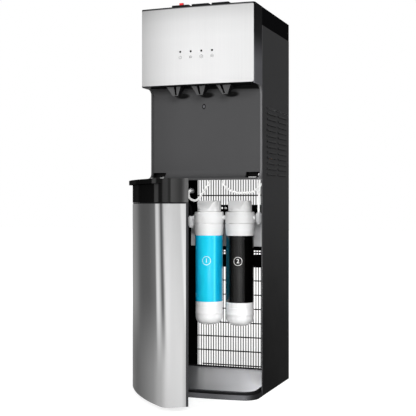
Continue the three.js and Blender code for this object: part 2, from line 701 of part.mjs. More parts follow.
const crossbar = () => {
  const y = [CROSSBAR.y, CROSSBAR.y + SHEET];
  const through = [y[0] - 5, y[1] + 5];
  const low = CROSSBAR.high - CROSSBAR.height;
  const plate = box(-INSIDE, INSIDE, ...y, low, CROSSBAR.high);
  const slotZ = [low + CROSSBAR.slot, low + CROSSBAR.slot + CROSSBAR.slotHeight];
  const windows = [-33, -21].map((x) =>
    box(x - 3, x + 3, ...through, CROSSBAR.high - 13, CROSSBAR.high - 7),
  );
  const tab = [y[0], y[0] + 15, low, CROSSBAR.high];
  return cut(
    join(plate, box(-INSIDE, -INSIDE + SHEET, ...tab), box(INSIDE - SHEET, INSIDE, ...tab)),
    box(-95, -5, ...through, ...slotZ),
    box(5, 95, ...through, ...slotZ),
    ...windows,
  );
};
add("crossbar", crossbar(), BLACK_STEEL);

const bracketLow = BRACKET.high - BRACKET.height;
const bracketPosts = [-BRACKET.post, BRACKET.post].map((x) => {
  const z = (bracketLow + BRACKET.high) / 2;
  return bar([x, BRACKET.y, z], [x, CROSSBAR.y - GAP, z], 8);
});
const bracketPlate = [-BRACKET.half, BRACKET.half, BRACKET.y, BRACKET.y + PLATE];
const bracket = join(box(...bracketPlate, bracketLow, BRACKET.high), ...bracketPosts);
add("filter_bracket", bracket, PALE_PLASTIC);

// ---- Condenser: a serpentine pipe with upright wires across it ----
const COIL = { rows: 14, first: BASE_HEIGHT + 9.4, last: DECK_HEIGHT - 6.7, thick: 4.8, half: COIL_HALF };
const WIRE = { count: 4, thick: 2.2 };
const COIL_PITCH = (COIL.last - COIL.first) / (COIL.rows - 1);
const condenser = () => {
  const t = COIL.thick / 2;
  const y = CONDENSER_Y;
  const rowZ = (k) => COIL.first + k * COIL_PITCH;
  const pieces = [];
  for (let k = 0; k < COIL.rows; k++) {
    const z = rowZ(k);
    pieces.push(box(-COIL.half, COIL.half, y - t, y + t, z - t, z + t));
    if (k > 0) {
      const x = k % 2 ? COIL.half : -COIL.half;
      pieces.push(box(x - t, x + t, y - t, y + t, z - COIL_PITCH, z));
    }
  }
  const low = COIL.first - 8;
  const high = rowZ(COIL.rows - 1) + 4;
  for (let k = 0; k < WIRE.count; k++) {
    const x = -COIL.half + 8 + (k * 2 * (COIL.half - 8)) / (WIRE.count - 1);
    const w = WIRE.thick / 2;
    pieces.push(box(x - w, x + w, y - t - WIRE.thick + 0.5, y - t + 0.5, low, high));
  }
  const tail = DECK_HEIGHT + 8;
  const top = rowZ(COIL.rows - 1);
  pieces.push(upright(-CONDENSER_X, y, top - 1, tail, LINE_RADIUS, 10));
  pieces.push(upright(CONDENSER_X, y, top - 1, tail, LINE_RADIUS, 10));
  pieces.push(box(COIL.half - 1, CONDENSER_X + 1, y - t, y + t, top - t, top + t));
  pieces.push(box(-CONDENSER_X - 1, -COIL.half + 1, y - t, y + t, top - t, top + t));
  // tabs that reach back to the rear returns of the side panels
  for (const side of [-1, 1]) {
    for (const z of [rowZ(3), rowZ(10)]) {
      const x = side * (COIL.half + 2);
      pieces.push(box(x - 4, x + 4, y - 1, REAR_PLANE, z - 4, z + 4));
    }
  }
  return join(...pieces);
};
add("condenser", condenser(), BLACK_STEEL);

// ---- Refrigeration ----
const COMPRESSOR = {
  x: INSIDE - 89.2,
  y: REAR_INNER - 107.4,
  radius: 61,
  foot: 3,
  base: 10,
  height: 162,
  shoulder: 88,
};
const JACKET = { wall: 20, floor: 15, height: 164, space: 10 };
const STUB = 9; // how far a pipe stub stands out of its shell
const compressorStub = (dx, dz) => {
  const x = COMPRESSOR.x + dx;
  const wall = COMPRESSOR.y + Math.sqrt(COMPRESSOR.radius ** 2 - dx ** 2);
  return { from: [x, COMPRESSOR.y, DECK_TOP + dz], to: [x, wall + STUB, DECK_TOP + dz] };
};
const DISCHARGE = compressorStub(20, 50);
const SUCTION = compressorStub(-20, 70);

const compressor = () => {
  const c = COMPRESSOR;
  const z = DECK_TOP + GAP;
  const r = c.radius;
  const shell = turned(c.x, c.y, [
    [0, z + c.base],
    [r * 0.8, z + c.base],
    [r, z + c.base + 14],
    [r, z + c.shoulder],
    [r * 0.93, z + c.height - 26],
    [r * 0.7, z + c.height - 7],
    [r * 0.3, z + c.height],
    [0, z + c.height],
  ]);
  const spread = r * 0.72;
  const feet = [-1, 1].flatMap((a) =>
    [-1, 1].map((b) => upright(c.x + a * spread, c.y + b * spread, z, z + c.base + 6, 7, 12)),
  );
  const half = spread + 9;
  const plate = box(c.x - half, c.x + half, c.y - half, c.y + half, z + 6, z + 6 + c.foot);
  const terminal = box(c.x - 26, c.x + 26, c.y - r - 14, c.y - r + 12, z + 40, z + 84);
  const stubs = [DISCHARGE, SUCTION].map((s) => bar(s.from, s.to, LINE_RADIUS + 0.8, 12));
  return join(shell, plate, terminal, ...feet, ...stubs, upright(c.x, c.y, z + 6, z + c.base + 4, r * 0.6));
};
add("compressor", compressor(), finish(0x1b1b1c, 0.45, 0.3));

const tip = (p, dx, dy, dz) => [p[0] + dx, p[1] + dy, p[2] + dz];
const dischargeEnd = [CONDENSER_X, CONDENSER_Y, DECK_HEIGHT + 8 + GAP];
const dischargeLine = tube(
  [
    tip(DISCHARGE.to, 0, GAP, 0),
    tip(DISCHARGE.to, 0, 9, 0),
    tip(DISCHARGE.to, 16, 18, 8),
    [CONDENSER_X - 8, CONDENSER_Y - 4, DECK_TOP + 50],
    [CONDENSER_X, CONDENSER_Y, DECK_TOP + 26],
    dischargeEnd,
  ],
  LINE_RADIUS,
  22,
);
add("discharge_line", dischargeLine, COPPER);

// Cold tank in its foam jacket, with the evaporator wound between them.
const jacketRadius = COLD_TANK.radius + JACKET.space + JACKET.wall;
const tankBottom = SHELF_TOP + 2 * GAP + JACKET.floor;
const tankTop = tankBottom + COLD_TANK.height;
const COIL_RADIUS = COLD_TANK.radius + 2.9 + LINE_RADIUS; // its straight chords just clear the tank
const EVAPORATOR = { low: tankBottom + 10, high: tankBottom + 106, turns: 4, steps: 12 };
const STUB_RADIUS = 5;
const COLD_OUT_Z = EVAPORATOR.low + (EVAPORATOR.high - EVAPORATOR.low) / EVAPORATOR.turns;
const ROOM_OUT_Z = tankTop - 16;
const coldFrontY = COLD_TANK.y - jacketRadius - 8;

const coldJacket = () => {
  const [x, y] = [COLD_X, COLD_TANK.y];
  const low = SHELF_TOP + GAP;
  const wallHole = (dy, z, r) => bar([x, y, z], [x, y + dy, z], r, 12);
  return cut(
    upright(x, y, low, low + JACKET.height, jacketRadius, 24),
    upright(x, y, low + JACKET.floor, low + JACKET.height + 1, jacketRadius - JACKET.wall, 24),
    wallHole(jacketRadius + 5, EVAPORATOR.low, LINE_RADIUS + 1),
    wallHole(jacketRadius + 5, EVAPORATOR.high, LINE_RADIUS + 1),
    wallHole(-jacketRadius - 5, COLD_OUT_Z, STUB_RADIUS + 1),
    wallHole(-jacketRadius - 5, ROOM_OUT_Z, STUB_RADIUS + 1),
  );
};
add("cold_jacket", coldJacket(), FOAM);

const coldTank = () => {
  const [x, y, radius] = [COLD_X, COLD_TANK.y, COLD_TANK.radius];
  return join(
    turned(x, y, [
      [0, tankBottom],
      [radius - 6, tankBottom],
      [radius, tankBottom + 6],
      [radius, tankTop - 8],
      [radius + 5, tankTop - 6],
      [radius + 5, tankTop - 3],
      [radius - 8, tankTop],
      [0, tankTop],
    ]),
    upright(x, y, tankTop - 1, tankTop + 10, STUB_RADIUS, 12),
    bar([x, y, COLD_OUT_Z], [x, coldFrontY, COLD_OUT_Z], STUB_RADIUS, 12),
    bar([x, y, ROOM_OUT_Z], [x, coldFrontY, ROOM_OUT_Z], STUB_RADIUS, 12),
  );
};
add("cold_tank", coldTank(), STAINLESS);

// The drier hangs on the liquid line, upright beside the rear panel.
const drier = { z: DECK_TOP + 40, length: 66, radius: 10 };
const evaporator = () => {
  const [x, y] = [COLD_X, COLD_TANK.y];
  const outside = y + jacketRadius + 14;
  const points = [];
  const steps = Math.round(EVAPORATOR.turns * EVAPORATOR.steps);
  for (let i = 0; i <= steps; i++) {
    const angle = Math.PI / 2 + (2 * Math.PI * EVAPORATOR.turns * i) / steps;
    const z = EVAPORATOR.low + ((EVAPORATOR.high - EVAPORATOR.low) * i) / steps;
    points.push([x + COIL_RADIUS * Math.cos(angle), y + COIL_RADIUS * Math.sin(angle), z]);
  }
  const coil = tube(points, LINE_RADIUS, steps);
  const lead = (z) => bar([x, y + COIL_RADIUS, z], [x, outside, z], LINE_RADIUS, 8);
  const [lx, ly] = LIQUID_SHELF;
  const z = EVAPORATOR.low;
  const liquid = tube(
    [
      [x, outside - 3, z],
      [x - 20, outside + 4, z],
      [x - 100, ly, z],
      [lx + 24, ly, z],
      [lx, ly, z - 24],
      [lx, ly, SHELF_TOP - 30],
      [lx, ly, drier.z + drier.length - 2],
    ],
    LINE_RADIUS - 0.8,
    20,
  );
  const end = [-CONDENSER_X, CONDENSER_Y, DECK_HEIGHT + 8 + GAP];
  const tailPoints = [[lx, ly, drier.z + 3], [lx, ly + 1, drier.z - 12], tip(end, 0, 0, 9), end];
  const tail = tube(tailPoints, LINE_RADIUS, 10);
  const canister = turned(lx, ly, [
    [0, drier.z],
    [4, drier.z],
    [drier.radius, drier.z + 9],
    [drier.radius, drier.z + drier.length - 9],
    [4, drier.z + drier.length],
    [0, drier.z + drier.length],
  ], 12);
  return join(coil, lead(EVAPORATOR.low), lead(EVAPORATOR.high), liquid, canister, tail);
};
add("evaporator", evaporator(), COPPER);

const suctionStart = [COLD_X, COLD_TANK.y + jacketRadius + 14 + GAP, EVAPORATOR.high];
const suctionLine = tube(
  [
    suctionStart,
    tip(suctionStart, 0, 5, 0),
    tip(suctionStart, 10, 9, -14),
    [SUCTION_SHELF[0], SUCTION_SHELF[1], SHELF_TOP + 60],
    [...SUCTION_SHELF, SHELF_TOP],
    [...SUCTION_SHELF, SHELF_HEIGHT - 30],
    tip(SUCTION.to, 4, 18, 34),
    tip(SUCTION.to, 0, 12, 0),
    tip(SUCTION.to, 0, GAP, 0),
  ],
  LINE_RADIUS,
  30,
);
add("suction_line", suctionLine, COPPER);

// ---- Hot side ----
const HEATER_BAND = { low: 60, high: 90, thick: 3 };
const hotTank = () => {
  const { y, radius, base } = HOT_TANK;
  const x = HOT_X;
  const z = DECK_TOP + GAP;
  const feet = [90, 210, 330].map((deg) => {
    const a = THREE.MathUtils.degToRad(deg);
    return upright(x + 34 * Math.cos(a), y + 34 * Math.sin(a), z, z + base + 4, 5, 12);
  });
  return join(
    turned(x, y, [
      [0, z + base],
      [radius - 8, z + base],
      [radius, z + base + 8],
      [radius, z + HEATER_BAND.low],
      [radius + HEATER_BAND.thick, z + HEATER_BAND.low + 1],
      [radius + HEATER_BAND.thick, z + HEATER_BAND.high - 1],
      [radius, z + HEATER_BAND.high],
      [radius, HOT_TOP - 12],
      [radius - 12, HOT_TOP],
      [0, HOT_TOP],
    ]),
    upright(x, y, HOT_TOP - 1, HOT_TOP + 6, STUB_RADIUS, 12),
    bar([x, y, z + base + 16], [x + radius + 8, y, z + base + 16], STUB_RADIUS, 12),
    ...feet,
  );
};
add("hot_tank", hotTank(), STAINLESS);

// ---- Electrical ----
const CONTROL = { inset: 7.2, width: 68, depth: 26, height: 76, above: 70, lid: 3, margin: 4 };
const controlBox = () => {
  const x = [-INSIDE + CONTROL.inset, -INSIDE + CONTROL.inset + CONTROL.width];
  const y = REAR_INNER - CONTROL.depth;
  const z = [SHELF_TOP + CONTROL.above, SHELF_TOP + CONTROL.above + CONTROL.height];
  const edge = CONTROL.margin;
  return join(
    box(...x, y, REAR_INNER, ...z),
    box(x[0] + edge, x[1] - edge, y - CONTROL.lid, y + 1, z[0] + edge, z[1] - edge),
  );
};
add("control_box", controlBox(), WHITE);

// A rocker: its ends are arcs about the axis that it tips on, half way through the rear panel.
const rocker = (i) => {
  const x = switchX(i);
  const w = SWITCH.width / 2;
  const r = SWITCH.height / 2;
  const y = REAR_PLANE - SHEET / 2;
  const raised = 90 - SWITCH.raised;
  const pressed = SWITCH.pressed - 90;
  const outline = [
    ...arc(y, SWITCH.z, r, raised, SWITCH.end, 4),
    ...arc(y, SWITCH.z, r, -SWITCH.end, pressed, 4),
    [y + SWITCH.crease, SWITCH.z],
  ];
  return sideways(outline, x - w, x + w);
};
SWITCHES.forEach(([name, look], i) => add(name, rocker(i), look));

const powerInlet = () => {
  const { x, z, depth } = POWER;
  const y = REAR_PLANE;
  // a block centred on the inlet, w wide and h high, between two depths
  const block = (w, h, y0, y1) => box(x - w / 2, x + w / 2, y0, y1, z - h / 2, z + h / 2);
  return cut(
    join(
      block(POWER.width, POWER.height, y - depth, y + 1),
      block(POWER.width + 2 * POWER.flange, POWER.height + 2 * POWER.flange, y + GAP, y + GAP + 2),
    ),
    block(...POWER.socket, y - depth + 3, y + 4),
  );
};
add("power_inlet", powerInlet(), BLACK_PLASTIC);

// ---- Water path ----
const VALVE = { x: -INSIDE + 59.2, y: -45, width: 36, depth: 30, block: 22, height: 52, port: 11 };
const VALVE_COIL = 14; // radius of the solenoid
VALVE.in = VALVE.y + VALVE.depth / 2 + STUB; // end of the inlet stub, behind
VALVE.out = VALVE.x - VALVE.width / 2 - STUB - 1; // end of the outlet stub, to the left
const valveZ = SHELF_TOP + GAP + VALVE.port;
const inletValve = () => {
  const { x, y } = VALVE;
  const z = SHELF_TOP + GAP;
  const [w, d] = [VALVE.width / 2, VALVE.depth / 2];
  return join(
    box(x - w, x + w, y - d, y + d, z, z + VALVE.block),
    upright(x, y, z + VALVE.block - 1, z + VALVE.height, VALVE_COIL),
    bar([x, y, valveZ], [x, VALVE.in, valveZ], STUB_RADIUS, 12),
    bar([x, y, valveZ], [VALVE.out, y, valveZ], STUB_RADIUS, 12),
  );
};
add("inlet_valve", inletValve(), WHITE);

const bulkhead = (x, z, inner) =>
  join(
    bar([x, inner, z], [x, BACK + 10, z], BULKHEAD_RADIUS, 18),
    bar([x, BACK + GAP, z], [x, BACK + 4, z], BULKHEAD_RADIUS + 4, 6),
  );
const BULKHEAD_INNER = BACK - 14;
add("inlet_union", cut(
  bulkhead(-BULKHEAD_X, INLET_HEIGHT, BULKHEAD_INNER),
  bar([-BULKHEAD_X, BACK + 2, INLET_HEIGHT], [-BULKHEAD_X, BACK + 12, INLET_HEIGHT], TUBE_RADIUS, 14),
), finish(0x8f9092, 0.45));
add("drain_plug", bulkhead(BULKHEAD_X, DRAIN_HEIGHT, BULKHEAD_INNER), RED);

const inletTube = [
  [-BULKHEAD_X, BULKHEAD_INNER - GAP, INLET_HEIGHT],
  [-BULKHEAD_X, BULKHEAD_INNER - 8, INLET_HEIGHT],
  [-BULKHEAD_X, BULKHEAD_INNER - 17, INLET_HEIGHT - 8],
  [-BULKHEAD_X + 5, CROSSBAR.y - 1, DECK_HEIGHT - 51],
  [-126.7, BRACKET.y + 10, DECK_HEIGHT - 59.8],
  [-106.1, FILTER.y + 44, DECK_HEIGHT - 64.6],
  [-89.7, FILTER.y + 34, DECK_HEIGHT - 55.5],
  [-76.4, FILTER.y + 28, DECK_HEIGHT - 40],
  [-61, INLET_DECK[1] + 1, DECK_HEIGHT - 22],
  [...INLET_DECK, DECK_HEIGHT - 2],
  [INLET_DECK[0], INLET_DECK[1] + 2, DECK_TOP + 30],
  [INLET_SHELF[0] + 2, INLET_SHELF[1], SHELF_HEIGHT - 78],
  [...INLET_SHELF, SHELF_HEIGHT - 10],
  [INLET_SHELF[0] - 1, INLET_SHELF[1] - 1, SHELF_TOP + 10],
  [VALVE.x + 30, VALVE.y + 119, SHELF_TOP + 26],
  [VALVE.x + 23, VALVE.y + 85, SHELF_TOP + 26],
  [VALVE.x + 18, VALVE.y + 55, SHELF_TOP + 20],
  [VALVE.x + 3, VALVE.y + 43, SHELF_TOP + 13],
  [VALVE.x, VALVE.in + 11, valveZ],
  [VALVE.x, VALVE.in + GAP, valveZ],
];
add("inlet_tube", tube(inletTube, TUBE_RADIUS, 40), SILICONE);

const feedTube = [
  [VALVE.out - GAP, VALVE.y, valveZ],
  [VALVE.out - 12, VALVE.y, valveZ],
  [VALVE.out - 18, VALVE.y + 9, valveZ + 4],
  [FEED_SHELF[0] - 1, FEED_SHELF[1], SHELF_TOP + 6],
  [...FEED_SHELF, SHELF_HEIGHT - 14],
  [FEED_DECK[0] + 1, FEED_DECK[1] - 2, SHELF_HEIGHT - 58],
  [...FEED_DECK, DECK_TOP + 50],
  [...FEED_DECK, DECK_HEIGHT],
  [FEED_DECK[0] + 7, 0, DECK_HEIGHT - 28],
  [elbowX(-1) - 9, FILTER.y - 11, elbowTop(-1)[2] + 42],
  tip(elbowTop(-1), 0, 0, 18),
  elbowTop(-1),
];
add("feed_tube", tube(feedTube, TUBE_RADIUS, 28), SILICONE);

const tankPort = [COLD_X, COLD_TANK.y, tankTop + 10];
const purifiedTube = [
  elbowTop(1),
  tip(elbowTop(1), 0, 0, 18),
  [elbowX(1) + 13, FILTER.y - 37, elbowTop(1)[2] + 56],
  [...PURIFIED_DECK, DECK_HEIGHT - 12],
  [...PURIFIED_DECK, DECK_TOP + 12],
  [PURIFIED_DECK[0] + 5, PURIFIED_DECK[1] - 8, DECK_TOP + 50],
  [...PURIFIED_SHELF, SHELF_HEIGHT - 20],
  [...PURIFIED_SHELF, SHELF_TOP + 10],
  [PURIFIED_SHELF[0] + 2, PURIFIED_SHELF[1] - 7, SHELF_TOP + 100],
  [PURIFIED_SHELF[0] - 6, PURIFIED_SHELF[1] + 5, tankPort[2] + 13],
  [COLD_X + 52, COLD_TANK.y - 28, tankPort[2] + 39],
  [COLD_X + 10, COLD_TANK.y - 4, tankPort[2] + 37],
  tip(tankPort, 0, 0, 20),
  tip(tankPort, 0, 0, GAP),
];
add("purified_tube", tube(purifiedTube, TUBE_RADIUS, 36), SILICONE);

const hotDrain = [HOT_X + HOT_TANK.radius + 8 + GAP, HOT_TANK.y, DECK_TOP + GAP + HOT_TANK.base + 16];
const drainTube = [
  hotDrain,
  tip(hotDrain, 12, 0, 0),
  tip(hotDrain, 25, 14, -4),
  [...DRAIN_DECK, DECK_TOP + 8],
  [...DRAIN_DECK, DECK_HEIGHT - 4],
  [-7, DRAIN_DECK[1], DECK_HEIGHT - 17],
  [0.4, FILTER.y + 17, DECK_HEIGHT - 28],
  [18.8, FILTER.y + 27, DECK_HEIGHT - 39],
  [42.6, FILTER.y + 42, DECK_HEIGHT - 42],
  [68.4, CROSSBAR.y - 10, DECK_HEIGHT - 38],
  [80, CROSSBAR.y + 1, DECK_HEIGHT - 25],
  [94, CROSSBAR.y + 7, DECK_HEIGHT - 14],
  [118, CROSSBAR.y + 9, DECK_HEIGHT - 14],
  [138, CROSSBAR.y + 12, DECK_HEIGHT - 20],
  [BULKHEAD_X, BULKHEAD_INNER - 9, DRAIN_HEIGHT],
  [BULKHEAD_X, BULKHEAD_INNER - GAP, DRAIN_HEIGHT],
];
add("drain_tube", tube(drainTube, TUBE_RADIUS, 34), SILICONE);

const faucetPort = (i) => [faucetX(i), FAUCET.y + PORT.reach + GAP, PORT.z];
const hotTube = [
  [HOT_X, HOT_TANK.y, HOT_TOP + 6 + GAP],
  [HOT_X, HOT_TANK.y, SHELF_TOP + 44],
  [HOT_X - 2, HOT_TANK.y - 16, SHELF_TOP + 76],
  [faucetX(0) - 15, -56, PORT.z + 19],
  [faucetX(0) - 3, -94, PORT.z + 13],
  tip(faucetPort(0), 0, 9, 0),
  faucetPort(0),
];
add("hot_tube", tube(hotTube, TUBE_RADIUS, 18), SILICONE);

const roomTube = [
  [COLD_X, coldFrontY - GAP, ROOM_OUT_Z],
  [COLD_X, coldFrontY - 7, ROOM_OUT_Z],
  [COLD_X - 14, coldFrontY - 15, ROOM_OUT_Z - 10],
  [faucetX(1) + 4, coldFrontY - 24, PORT.z + 15],
  tip(faucetPort(1), 0, 9, 0),
  faucetPort(1),
];
add("room_tube", tube(roomTube, TUBE_RADIUS, 14), SILICONE);

const coldTube = [
  [COLD_X, coldFrontY - GAP, COLD_OUT_Z],
  [COLD_X, coldFrontY - 7, COLD_OUT_Z],
  [COLD_X + 10, coldFrontY - 11, COLD_OUT_Z + 13],
  [faucetX(2) - 4, coldFrontY - 20, PORT.z - 5],
  tip(faucetPort(2), 0, 9, 0),
  faucetPort(2),
];
add("cold_tube", tube(coldTube, TUBE_RADIUS, 14), SILICONE);

// ---- Door: drawn closed, then hung open on its hinge ----
const OPEN = 51.5; // degrees, as it stands
const DOOR_FRONT = { corner: FRONT - 4, radius: 24, bow: 14 };
const DOOR_BACK = PANEL_FRONT - 6.2;
const DOOR_BOTTOM = BAND_HEIGHT + 2;
const WEB = 3; // floor and ceiling of the liner
const HOUSING_TOP = LEDGE_HEIGHT - 2.5;
const HOUSING_HEIGHT = 59;
const HOUSING_BOTTOM = HOUSING_TOP - HOUSING_HEIGHT;
const SKIN_TOP = HOUSING_BOTTOM - 3;
const EDGE_STRIP = 6; // dark edge at the free side
const WEB_BOTTOM = BASE_HEIGHT + 3;
const PIN_TOP = WEB_BOTTOM + 11; // the door hangs on the lower pin's head

const door = new THREE.Group();
door.position.set(HINGE_X, HINGE_Y, 0);
door.rotation.z = THREE.MathUtils.degToRad(-OPEN);
cooler.add(door);
const hang = (name, solid, look) =>
  add(name, solid.translate([-HINGE_X, -HINGE_Y, 0]), look, door);

const doorSkin = () => {
  const edge = DOOR_BACK - EDGE_STRIP - GAP;
  return cut(
    prism(bowedPlan(DOOR_FRONT, 0, edge, 20), DOOR_BOTTOM, SKIN_TOP),
    prism(bowedPlan(DOOR_FRONT, SKIN, edge + 1, 20), DOOR_BOTTOM - 1, SKIN_TOP + 1),
  );
};
hang("door_skin", doorSkin(), BRUSHED);

// Liner: a tray that backs the skin, with the rear wall towards the cabinet and an edge strip.
const doorLiner = () => {
  const inset = SKIN + GAP;
  const top = HOUSING_BOTTOM - GAP;
  const outer = bowedPlan(DOOR_FRONT, inset, DOOR_BACK, 20);
  const inner = bowedPlan(DOOR_FRONT, inset + MOULDED, DOOR_BACK - MOULDED, 20);
  const strip = box(-HALF, HALF, DOOR_BACK - EDGE_STRIP, DOOR_BACK, WEB_BOTTOM, top);
  const frame = 24; // width left round the opening behind the steel skin
  const wide = [-HALF + frame, HALF - frame];
  const window = [...wide, FRONT - 30, FRONT + 20, WEB_BOTTOM + frame - 4, top - frame + 4];
  const body = join(
    cut(prism(outer, WEB_BOTTOM, top), prism(inner, WEB_BOTTOM + WEB, top - WEB)),
    strip,
    upright(HINGE_X, HINGE_Y, WEB_BOTTOM + 1, PIN_TOP + 3, BOSS_RADIUS + 1),
  );
  return cut(body, box(...window), upright(HINGE_X, HINGE_Y, 0, PIN_TOP + GAP, PIN_RADIUS + SLIP));
};
hang("door_liner", doorLiner(), BLACK_PLASTIC);

// Tray housing on top of the door, with a basin for the drip tray and a lip along its front.
const BASIN = { wall: 10, back: LIP_FRONT - 2, depth: 34 };
const BRIM = { height: 12, reach: 10, half: 145 };
const TRAY_WALL = 2;
// The basin's outline in plan, set in by inset, between two heights.
const basin = (inset, z0, z1) =>
  prism(bowedPlan(DOOR_FRONT, BASIN.wall + inset, BASIN.back - inset), z0, z1);
const trayHousing = () => {
  const body = prism(bowedPlan(DOOR_FRONT, 0, DOOR_BACK, 20), HOUSING_BOTTOM, HOUSING_TOP);
  const ahead = { ...DOOR_FRONT, corner: DOOR_FRONT.corner - BRIM.reach };
  const keep = box(-BRIM.half, BRIM.half, FRONT - 60, FRONT + 30, 0, HEIGHT);
  const brim = prism(bowedPlan(ahead, 0, FRONT + 28, 20), HOUSING_TOP - BRIM.height, HOUSING_TOP);
  return cut(
    join(body, brim.intersect(keep)),
    basin(0, HOUSING_TOP - BASIN.depth, HOUSING_TOP + 1),
    upright(HINGE_X, HINGE_Y, HOUSING_TOP - 14, HOUSING_TOP + 1, PIN_RADIUS + SLIP),
    // hollow underside
    basin(0, HOUSING_BOTTOM - 1, HOUSING_TOP - BASIN.depth - MOULDED),
  );
};
hang("tray_housing", trayHousing(), BLACK_PLASTIC);

const trayBottom = HOUSING_TOP - BASIN.depth + GAP;
const trayTop = HOUSING_TOP - 0.5;
const GRATE = 3;
const TRAY_LEDGE = 3; // width of the ledge that carries the grate
const dripTray = () => {
  const seat = trayTop - GRATE - 2 * GAP;
  return cut(
    basin(SLIP, trayBottom, trayTop),
    basin(SLIP + TRAY_WALL, seat, trayTop + 1),
    basin(SLIP + TRAY_WALL + TRAY_LEDGE, trayBottom + TRAY_WALL, trayTop + 1),
  );
};
hang("drip_tray", dripTray(), BLACK_PLASTIC);

const SLOTS = 13;
const SLOT_WIDTH = 8;
const dripGrate = () => {
  const inset = SLIP + TRAY_WALL + GAP;
  const low = trayTop - GRATE - GAP;
  const y = [FRONT + BASIN.wall + inset + 6, BASIN.back - inset - 6];
  const half = HALF - BASIN.wall - inset;
  const slots = Array.from({ length: SLOTS }, (_, i) => {
    const centre = ((i - (SLOTS - 1) / 2) * 2 * (half - 20)) / SLOTS;
    return box(centre - SLOT_WIDTH / 2, centre + SLOT_WIDTH / 2, ...y, low - 1, low + GRATE + 1);
  });
  return cut(basin(inset, low, low + GRATE), ...slots);
};
hang("drip_grate", dripGrate(), STAINLESS);

// Upper hinge: a plate in the alcove's left pocket, with the pin that drops into the housing.
const hingeBracket = () => {
  const z = LEDGE_HEIGHT + LIP + GAP;
  const x = [-INSIDE + RIM + GAP, -INSIDE + RIM + POCKET.width - GAP];
  const y = [HINGE_Y - 6, ALCOVE_FACE + POCKET.depth - MOULDED - GAP];
  return join(
    box(...x, ...y, z, z + PLATE),
    upright(HINGE_X, HINGE_Y, HOUSING_TOP - 12, z + 1, PIN_RADIUS, 16),
    upright(x[1] - 10, PANEL_FRONT + 4, z + 1, z + 5, 4, 6),
  );
};
add("hinge_bracket", hingeBracket(), STAINLESS);
add("hinge_pin", upright(HINGE_X, HINGE_Y, PAN_FLOOR + GAP, PIN_TOP, PIN_RADIUS), STAINLESS);

// Catch in the right pocket: a sprung hook body on a plate.
const doorCatch = () => {
  const z = LEDGE_HEIGHT + LIP + GAP;
  const x = [INSIDE - RIM - POCKET.width + GAP, INSIDE - RIM - GAP];
  const y = [ALCOVE_FACE - 8, ALCOVE_FACE + POCKET.depth - MOULDED - GAP];
  const hook = box(x[1] - 12, x[1] - 4, y[0] + 3, y[1], z + 1, z + 11);
  return join(box(...x, ...y, z, z + PLATE), hook);
};
add("door_catch", doorCatch(), STAINLESS);

export default cooler;
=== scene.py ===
"""A floor-standing water cooler: its visible shapes and finishes, made round a fixed frame of solids."""
import json
import math

import bmesh
import bpy
from mathutils import Matrix, Vector


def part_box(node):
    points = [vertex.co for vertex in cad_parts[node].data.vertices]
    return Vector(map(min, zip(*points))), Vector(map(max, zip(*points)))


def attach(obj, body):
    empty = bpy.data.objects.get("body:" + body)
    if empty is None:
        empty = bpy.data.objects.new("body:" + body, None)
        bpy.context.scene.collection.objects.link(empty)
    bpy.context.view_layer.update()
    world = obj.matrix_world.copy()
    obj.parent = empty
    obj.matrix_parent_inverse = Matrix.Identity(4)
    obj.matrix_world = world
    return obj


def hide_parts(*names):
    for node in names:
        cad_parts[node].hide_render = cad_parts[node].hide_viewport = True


bl_info = {
    "name": "Water Cooler",
    "version": (1, 0, 0),
    "blender": (4, 5, 0),
    "location": "View3D > Sidebar > Water Cooler",
    "description": "Builds the visible shapes and finishes of a floor-standing water cooler",
    "category": "Add Mesh",
}

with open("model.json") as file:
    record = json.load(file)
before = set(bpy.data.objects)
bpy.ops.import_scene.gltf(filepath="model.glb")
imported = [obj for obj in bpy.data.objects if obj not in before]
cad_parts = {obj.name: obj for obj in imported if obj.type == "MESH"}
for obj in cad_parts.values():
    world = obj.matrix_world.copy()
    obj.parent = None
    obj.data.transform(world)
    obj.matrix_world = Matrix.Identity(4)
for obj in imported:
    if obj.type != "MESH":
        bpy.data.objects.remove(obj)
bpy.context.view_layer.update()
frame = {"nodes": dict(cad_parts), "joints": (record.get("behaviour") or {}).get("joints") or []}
MM = 0.001


# ---- Places taken from the frame ----
class Box:
    """The box of one solid at rest."""

    def __init__(self, node):
        low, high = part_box(node)
        self.x0, self.y0, self.z0 = low
        self.x1, self.y1, self.z1 = high
        self.x = (self.x0 + self.x1) / 2
        self.y = (self.y0 + self.y1) / 2
        self.z = (self.z0 + self.z1) / 2


CABINET = Box("side_panel_right")
HALF = CABINET.x1
BACK = CABINET.y1
FRONT = -BACK
PANEL_FRONT = CABINET.y0
INSIDE = Box("deck").x1  # half the width between the side panels
HEAD = Box("head_shell")
COVER = Box("top_cover")
ALCOVE = Box("alcove_panel")
BASE = Box("base_pan")
HINGE = next(j for j in frame["joints"] if j["name"] == "door_hinge")
OPEN = math.radians(HINGE["range_deg"][1])
HINGE_X, HINGE_Y = HINGE["pos_m"][:2]
PIVOT = Matrix.Translation((HINGE_X, HINGE_Y, 0))
SWUNG = PIVOT @ Matrix.Rotation(-OPEN, 4, "Z") @ PIVOT.inverted()  # closed door to the open one
GAP = 0.3 * MM  # clearance between seated pieces
PIN_HOLE = 3.3 * MM  # radius round the hinge pin, in the base and the alcove
DOOR_HOLE = 3.5 * MM  # the same in the door
BARREL = 13.5 * MM  # radius of a faucet's valve barrel
MOULDED = 2.5 * MM  # moulded wall
LABEL_RADIUS = 39.5 * MM  # of the cartridges
CREASE = 32  # degrees; edges that bend more are rounded
WATERS = ("hot", "room", "cold")  # keys and faucets, from the left


